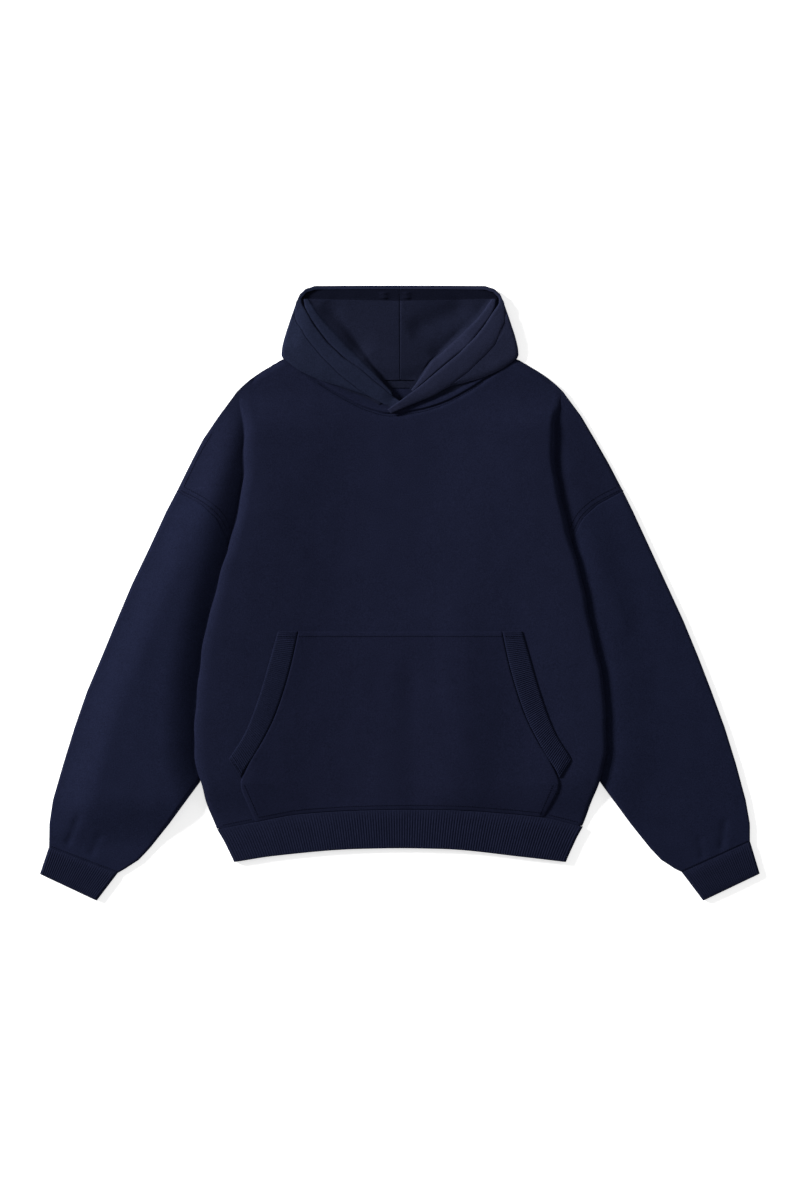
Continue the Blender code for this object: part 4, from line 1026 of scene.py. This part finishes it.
def pocket_panel():
    """The pocket, lying on the front, its edges thinned so that they sit down on it."""
    rows = []
    for share in POCKET_SHARES:
        row = []
        y_side = along(POCKET_SIDE, share)[1]
        half = at(POCKET_SIDE, y_side, 0, 1)
        for c in edge_steps(21, -1.0, 1.0):
            x = c * half
            seam = at(HEM_SEAM, x)
            y = y_side + ease((share - 0.84) / 0.15) * (seam + 0.0003 - POCKET_SIDE[-1][1])
            z = front_top(x, y) + POCKET_LIE - POCKET_PRESS * ease((seam + 0.014 - y) / 0.011)
            edge = EDGE_THIN if share in (0.0, 1.0) or abs(c) == 1.0 else 0.0
            edge += HEM_THIN * ease((seam + 0.012 - y) / 0.010)
            if share > LOW_EDGE:
                edge += SIDE_THIN * (1 - ease((1 - abs(c)) * half / SIDE_BEND))
            row.append((x, y, z + CLOTH - edge, z))
        rows.append(row)
    wall("pocket_panel", *layers(rows))


def pocket_trim(name, side):
    """The ribbed trim along one opening of the pocket, one row of points for each place on a rib."""
    rows = []
    for rib in range(TRIM_RIBS):
        for k, high in RIB_PROFILE:
            share = (rib + k) / (TRIM_RIBS - 0.1)
            outer_y = TRIM_OUTER[0][1] + share * (TRIM_OUTER[-1][1] - TRIM_OUTER[0][1])
            inner_y = POCKET_SIDE[0][1] + share * (POCKET_SIDE[4][1] - POCKET_SIDE[0][1])
            outer_end = (at(TRIM_OUTER, outer_y, 0, 1), outer_y)
            inner_end = (at(POCKET_SIDE, inner_y, 0, 1) + 0.0003, inner_y)
            row = []
            for across in (0.0, 0.5, 1.0):
                x, y = mix(outer_end, inner_end, across)
                x = side * (x + (0.0006 if across == 1.0 else 0.0))
                z = front_top(x, y) + LIE
                thick = CLOTH - TRIM_THIN * (1 - across) ** 2 - TRIM_END_THIN * ease((share - 0.96) / 0.04)
                top = z + thick + TRIM_RIB_HEIGHT * high * (1.0 if across == 0.5 else 0.7)
                row.append((x, y, top, z))
            rows.append(row)
    wall(name, *layers(rows))


def near(path, x, y):
    """Distance from a point to a path."""
    best = 1.0
    for (ax, ay), (bx, by) in zip(path, path[1:]):
        dx, dy = bx - ax, by - ay
        share = ((x - ax) * dx + (y - ay) * dy) / (dx * dx + dy * dy)
        share = min(max(share, 0.0), 1.0)
        best = min(best, math.dist((x, y), (ax + share * dx, ay + share * dy)))
    return best


def flap_top(x, y, side):
    """Height of the hood's flaps, x measured outwards on their own side."""
    tip = tuple(row[0:2] for row in BAND[side][-FREE_ROWS[side] :])
    low = near(FLAP_LOWER[side] + tip, x, y)
    edge = near(HOOD_SIDE[:-1] + HOOD_TOP[:4], x, y)
    high, wide, least = FLAP_RISE[side]
    rise = min(ease(low / wide), least + (1 - least) * ease(edge / RIM_SLOPE))
    droop = FLAP_DROOP * (1 - ease(low / DROOP_WIDTH))
    middle = V_RISE * (1 - ease((x - 0.020) / 0.085)) * (1 - rise)
    return FLAP_BASE + middle + high * rise - droop


def inset(point, turn, depth):
    """The point moved in from the hood's outline, towards the middle or, at a quarter turn, downwards."""
    return point[0] - depth * math.cos(turn), point[1] - depth * math.sin(turn)


def rim_height(corner, side):
    """Height of the hood's rolled side edge."""
    return flap_top(corner[0] - RIM_INSET, corner[1], side) - RIM_DROP


def shell_back(corner, turn, low_share, top_share):
    """A row's places on the hood's back layer, from the middle outwards."""
    foot, head = HOOD_SIDE[0][1], HOOD_SIDE[-1][1]
    back = []
    for k in (0.0, 0.35, 0.65, 0.85):
        x, y = mix((0.0, head + 0.032 * top_share), inset(corner, turn, BACK_END), k)
        if top_share == 0.0:
            neck = at(BACK_NECKLINE, min(x, 0.16)) + 0.0008 + 0.0004 * k
            fade = (1 - low_share) ** 2
            y = fade * min(neck, corner[1]) + (1 - fade) * (foot + (head - foot) * low_share)
        back.append((x, y))
    return back


def flap_row(outside, inside, end, low_share, high, side):
    """A row's points on the flap, from its fold to the band's seam: outer face, then inner face."""
    path = FLAP_LOWER[side]
    fade = (1 - low_share) ** 2
    over, under = [], []
    for v in FLAP_STEPS:
        here, below = mix(outside, end, v), mix(inside, end, v)
        low, straight = along(path, v), mix(path[0], path[-1], v)
        bow_x, bow_y = fade * (low[0] - straight[0]), fade * (low[1] - straight[1])
        x, y = here[0] + bow_x, here[1] + bow_y
        z = flap_top(x, y, side)
        z = min(z, high + 0.0006) if v < 0.05 else z
        over.append((x, y, z - (0.0014 if low_share == 0.0 else 0.0)))
        under.append((below[0] + bow_x, below[1] + bow_y, z - CLOTH))
    return over, under


def hood_shell(name, side):
    """One side panel of the hood: flat below, folded up round its side edge and forwards as a flap."""
    seam = finely([(row[0] + 0.0002, row[1] - 0.0002) for row in BAND[side][: -FREE_ROWS[side]]][::-1], 2)
    last = len(seam) - 1
    stations = [(k / last, 0.0) for k in range(last + 1)] + [(1.0, share) for share in RIM_SHARES]
    corner_high = rim_height(HOOD_SIDE[-1], side)
    outer, inner = [], []
    for low_share, top_share in stations:
        flap = top_share == 0.0
        corner = along(HOOD_SIDE, low_share) if flap else along(HOOD_TOP, top_share)
        turn = math.pi / 2 * ease(top_share / 0.30)
        high = rim_height(corner, side)
        if not flap:
            high = corner_high - 0.0004 + (RIM_HIGH - corner_high) * ease((top_share - 0.08) / 0.36)
        back = shell_back(corner, turn, low_share, top_share)
        face = [(0.0045, 0.0), RIM_CORNER, (0.0, high * 0.35), (0.0, high * 0.65)]
        face += [(RIM_CORNER[0], high - RIM_CORNER[1])]
        rear = [(0.0048, CLOTH), (0.0034, CLOTH + 0.0006), (CLOTH, high * 0.40), (CLOTH, high * 0.60)]
        rear += [(0.0034, high - CLOTH - 0.0004)]
        face = [(*inset(corner, turn, depth), z) for depth, z in face]
        rear = [(*inset(corner, turn, depth), z) for depth, z in rear]
        outside, inside = inset(corner, turn, RIM_CORNER[0]), inset(corner, turn, 0.0038)
        if flap:
            over, under = flap_row(outside, inside, seam[round(low_share * last)], low_share, high, side)
        else:
            end = inset(corner, turn, 0.0056)
            over = [(*mix(outside, end, v), high) for v in RIM_STEPS]
            under = [(*mix(inside, end, v), high - CLOTH) for v in RIM_STEPS]
        over = [(x, y, 0.0) for x, y in back] + face + over
        under = [(x, y, CLOTH) for x, y in back] + rear + under
        outer.append([(side * x, y, z) for x, y, z in over])
        inner.append([(side * x, y, z) for x, y, z in under])
    wall(name, outer, inner, hood_front(side))


def hood_band(name, side):
    """The band along the hood's edge, from the V at the front up to where it turns over the top."""
    path = BAND_TOP + BAND[side] + (BAND_UNDER if side < 0 else ())
    stations = [path[0], mix(path[0], path[1], 0.05)]
    for a, b in zip(path, path[1:]):
        stations += [mix(a, b, 0.5), b]
    stations.insert(-1, mix(path[-2], path[-1], 0.93))
    rows = []
    for index, station in enumerate(stations):
        outer_end, inner_end = station[0:2], station[2:4]
        tuck = 0.0012 if index in (0, len(stations) - 1) else 0.0
        row = []
        for v, raised in BAND_PROFILE:
            x, y = mix(outer_end, inner_end, v)
            z = flap_top(x, y, side)
            if side < 0:
                z -= UNDER_DIP * ease((0.0225 - x) / 0.012)
            else:
                z += OVER_RISE * ease((0.030 - x) / 0.030)
            z -= BAND_SINK * ease((y - 0.413) / 0.017)
            row.append((side * x, y, z + raised - tuck, z - CLOTH))
        rows.append(row)
    wall(name, *layers(rows))


def hood_front(side):
    """The lowest part of a side panel, from the neckline's seam up to where the flap hides it."""
    top = CLOTH + LIE + CLOTH + 0.0004
    across = steps(48, -0.010 if side > 0 else 0.010, 0.158)
    rows = []
    for v in (0.0, 0.05, 0.12, 0.25, 0.5, 0.75, 1.0):
        z = top - 0.0016 * (1 - ease(v / 0.12)) - 0.0022 * ease((v - 0.15) / 0.7)
        rows.append([(side * x, at(NECKLINE, side * x) - 0.0006 + 0.017 * v, z, z - CLOTH) for x in across])
    return layers(rows)


def hood_lining(name, side):
    """The inside of the hood on one side, with the layers folded under it as one solid."""
    base = CLOTH + LINING_GAP
    right = side < 0
    uppers = []
    for row in LINING[side]:
        hidden, edge, roll, end = row[0:2], row[2:4], row[4:6], row[6:8]
        level = row[8]
        under = [hidden, mix(hidden, edge, 0.5), mix(hidden, edge, 0.93)]
        upper = [(x, y, max(flap_top(x, y, side) - CLOTH - 0.0022, base + 0.0008)) for x, y in under]
        top = min(ROLL_HIGHEST, flap_top(*edge, side) - CLOTH - LIE)
        for k, raised in ROLL_PROFILE:
            upper.append((*mix(edge, roll, k), top + raised))
        foot = top - (0.0022 if right else 0.0030)
        upper.append((*mix(roll, end, 0.10 if right else 0.06), max(level, foot)))
        for k in (0.24 if right else 0.12, 0.32, 0.44, 0.58, 0.72, 0.86, 1.0):
            x, y = mix(roll, end, k)
            bulge = (1 - ease(x / 0.070)) * ease((y - 0.295) / 0.04) * ease((0.455 - y) / 0.07)
            upper.append((x, y, level + LINING_BULGE * bulge))
        uppers.append([(side * x, y, z) for x, y, z in upper])
    last = [abs(point[0]) for point in uppers[-1]]
    shares = [x / last[0] for x in last]
    for across, outer_y, middle_y, level in LINING_TOP:
        uppers.append([(side * across * k, middle_y + (outer_y - middle_y) * k, level) for k in shares])
    wall(name, uppers, [[(x, y, base) for x, y, _ in upper] for upper in uppers])


def neck_tape():
    """The tape over the seam at the back of the neck."""
    across = steps(13, -0.100, 0.100)
    rows = []
    for height in (0.0, 0.15, 0.85, 1.0):
        low = (TAPE_HIGH + TAPE_ABOVE) * (1 - height) - TAPE_ABOVE
        top = CLOTH + (0.0011 if height in (0.0, 1.0) else 0.0013)
        rows.append([(x, at(BACK_NECKLINE, x) - low, top, CLOTH + 0.0003) for x in across])
    wall("neck_tape", *layers(rows))


def cloth_material(name, colour, sheen, pitch):
    """Knitted cotton: rows of small loops, fine fuzz and a faintly uneven dye."""
    material = bpy.data.materials.new(name)
    material.use_nodes = True
    tree = material.node_tree
    nodes, links = tree.nodes, tree.links
    shader = nodes["Principled BSDF"]
    fill(shader, {**NAP, "Sheen Weight": sheen})
    place = nodes.new("ShaderNodeTexCoord")

    def maths(kind, a, b=None):
        """The result of one sum on numbers or on other results."""
        node = nodes.new("ShaderNodeMath")
        node.operation = kind
        for k, value in enumerate((a, b)):
            if value is None:
                continue
            if isinstance(value, (int, float)):
                node.inputs[k].default_value = value
            else:
                links.new(value, node.inputs[k])
        return node.outputs[0]

    def noise(scale, detail):
        """Cloudy noise over the cloth, finer with a greater scale."""
        node = nodes.new("ShaderNodeTexNoise")
        fill(node, {"Scale": scale, "Detail": detail, "Roughness": 0.6})
        links.new(place.outputs["Object"], node.inputs["Vector"])
        return node.outputs["Fac"]

    def weighted(*parts):
        """The sum of results, each times its weight."""
        total = None
        for part, weight in parts:
            term = maths("MULTIPLY", part, weight)
            total = term if total is None else maths("ADD", total, term)
        return total

    split = nodes.new("ShaderNodeSeparateXYZ")
    links.new(place.outputs["Object"], split.inputs[0])
    column = maths("MULTIPLY", split.outputs[0], 1.0 / pitch)
    inside = maths("ABSOLUTE", maths("SUBTRACT", maths("FRACT", column), 0.5))
    row = weighted((split.outputs[1], 1.25 / pitch), (inside, 1.1))
    loop = maths("SINE", maths("MULTIPLY", row, 2 * math.pi))
    wale = maths("SINE", maths("MULTIPLY", inside, 2 * math.pi))
    knit = weighted((wale, 0.6), (loop, 0.4))
    fuzz = noise(2600.0, 3.0)
    patch = noise(38.0, 4.0)
    grain = noise(600.0, 2.0)
    height = weighted((knit, 0.35), (fuzz, 0.8), (grain, 0.9))
    bump = nodes.new("ShaderNodeBump")
    fill(bump, {"Strength": 0.35, "Distance": 0.0004})
    links.new(height, bump.inputs["Height"])
    links.new(bump.outputs["Normal"], shader.inputs["Normal"])
    tone = maths("ADD", weighted((patch, 0.24), (grain, 1.20), (fuzz, 0.90)), -0.17)
    shade = nodes.new("ShaderNodeMix")
    shade.data_type = "RGBA"
    shade.blend_type = "MULTIPLY"
    fill(shade, {"Factor": 1.0, 6: (*colour, 1.0)})
    links.new(tone, shade.inputs[7])
    links.new(shade.outputs[2], shader.inputs["Base Color"])
    return material


def surroundings():
    """A plain pale floor, a large soft light from the upper left, and the camera straight above."""
    mesh = bpy.data.meshes.new("floor")
    corners = [(x * FLOOR_HALF, y * FLOOR_HALF, FLOOR_Z) for x, y in ((-1, -1), (1, -1), (1, 1), (-1, 1))]
    mesh.from_pydata(corners, [], [(0, 1, 2, 3)])
    floor = placed("floor", mesh)
    paper = bpy.data.materials.new("paper")
    paper.use_nodes = True
    fill(paper.node_tree.nodes["Principled BSDF"], PAPER)
    mesh.materials.append(paper)
    for name, where, wide, power in LIGHTS:
        light = bpy.data.lights.new(name, "AREA")
        light.size = wide
        light.energy = power
        lamp = placed(name, light)
        lamp.location = where
        lamp.rotation_euler = (-Vector(where)).to_track_quat("-Z", "Y").to_euler()
    world = bpy.data.worlds.new("studio")
    bpy.context.scene.world = world
    world.use_nodes = True
    fill(world.node_tree.nodes["Background"], {"Color": (1.0, 1.0, 1.0, 1.0), "Strength": 0.25})
    lens = bpy.data.cameras.new("camera")
    lens.sensor_fit = "VERTICAL"
    lens.sensor_height = SENSOR
    lens.clip_end = 30.0
    lens.lens = SENSOR * (CAMERA_UP - PICTURE_Z) / FRAME_HEIGHT
    camera = placed("camera", lens)
    camera.location = (0.0, CAMERA_Y, CAMERA_UP)
    bpy.context.scene.camera = camera
    bpy.context.scene.view_settings.view_transform = "Standard"


def stitch_rows():
    """Each needle line as (piece, path)."""
    lines = [("pocket_panel", [(x, POCKET_TOP_LINE) for x in steps(40, -0.1465, 0.1465)])]
    lines.append(("pocket_panel", [(x, at(HEM_SEAM, x) + POCKET_LINE) for x in steps(80, -0.204, 0.204)]))
    lines.append(("front_panel", [(x, at(NECKLINE, x) - NECK_LINE) for x in steps(60, -0.118, 0.120)]))
    for side, from_edge in POCKET_CORNER_LINE.items():
        trim = f"pocket_rib_{HANDS[side]}"
        lines.append((trim, [(side * 0.1500, POCKET_TOP_LINE), (side * 0.1770, POCKET_TOP_LINE)]))
        for off in TRIM_LINES:
            ends = (TRIM_OUTER[-1], POCKET_SIDE[4])
            lines.append((trim, [(side * (x - 0.55 * off), y + 0.9 * off) for x, y in ends]))
        corner, foot = (side * (0.2280 - from_edge), -0.2760), (side * (0.2095 - from_edge), -0.3200)
        lines.append(("pocket_panel", [corner, foot]))
        beside = [side * x for x in steps(12, 0.213, 0.256)]
        lines.append(("front_panel", [(x, at(HEM_SEAM, x) + HEM_LINE) for x in beside]))
        seam = [(x, at(ARMHOLE, x)) for x in steps(24, 0.252, 0.318)]
        for off in ARMHOLE_LINES:
            lines.append(("front_panel", [(side * (x - off * 0.75), y + off * 0.75) for x, y in seam]))
        lines.append((f"sleeve_{HANDS[side]}", [(side * x, y + CUFF_LINE) for x, y in CUFF[side][:2]]))
    lines.append(("front_panel", SHOULDER_LINE))
    return lines


def stitching(name, piece, paths):
    """All stitches on one panel as one mesh, each a small rounded bar on its surface."""
    gap = (1 - STITCH_LENGTH / STITCH_PITCH) / 2
    points, faces = [], []
    corners = [vertex.co for vertex in piece.data.vertices]
    tree = BVHTree.FromPolygons(corners, [face.vertices for face in piece.data.polygons])
    for path in paths:
        length = sum(math.dist(a, b) for a, b in zip(path, path[1:]))
        count = int(length / STITCH_PITCH)
        for k in range(count):
            ends = []
            for x, y in (along(path, (k + gap) / count), along(path, (k + 1 - gap) / count)):
                ends.append(tree.ray_cast(Vector((x, y, 0.05)), Vector((0, 0, -1)))[0])
            if None in ends:
                continue
            line = (ends[1] - ends[0]).normalized()
            side = Vector((-line.y, line.x, 0)).normalized()
            up = side.cross(line) if side.cross(line).z > 0 else line.cross(side)
            start = len(points)
            for share, size in ((0.0, 0.35), (0.18, 0.9), (0.5, 1.0), (0.82, 0.9), (1.0, 0.35)):
                middle = ends[0].lerp(ends[1], share) + up * (-0.00010 if share in (0.0, 1.0) else 0.00010)
                for turn in range(6):
                    angle = turn * math.pi / 3
                    out = side * math.cos(angle) + up * 0.7 * math.sin(angle)
                    points.append(middle + out * STITCH_RADIUS * size)
            for ring in range(4):
                for turn in range(6):
                    c, d = start + ring * 6 + turn, start + ring * 6 + (turn + 1) % 6
                    faces.append([c, d, d + 6, c + 6])
            faces.append([start + turn for turn in range(5, -1, -1)])
            faces.append([start + 24 + turn for turn in range(6)])
    mesh = smooth_mesh(name + "_stitches", [tuple(point) for point in points], faces)
    mesh.materials.append(MATERIALS["thread"])
    thread = placed(name + "_stitches", mesh)
    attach(thread, "root")
    return thread


def declare():
    """The stitches on each panel."""
    rows = stitch_rows()
    for name, panel in PIECES.items():
        piece = bpy.data.objects[name + "_cloth"]
        paths = [path for on, path in rows if on == name]
        threads = [stitching(name, piece, paths)] if paths else []


def pair(build, name):
    """A piece for each side of the garment."""
    for side, hand in HANDS.items():
        build(f"{name}_{hand}", side)


def main():
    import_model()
    for look, colour, sheen, pitch in LOOKS:
        MATERIALS[look] = cloth_material(look, colour, sheen, pitch)
    front_panel()
    back_panel()
    pair(sleeve, "sleeve")
    pair(cuff, "cuff")
    hem_band()
    pocket_panel()
    pair(pocket_trim, "pocket_rib")
    pair(hood_shell, "hood_shell")
    pair(hood_band, "hood_band")
    pair(hood_lining, "hood_lining")
    neck_tape()
    surroundings()
    declare()


main()
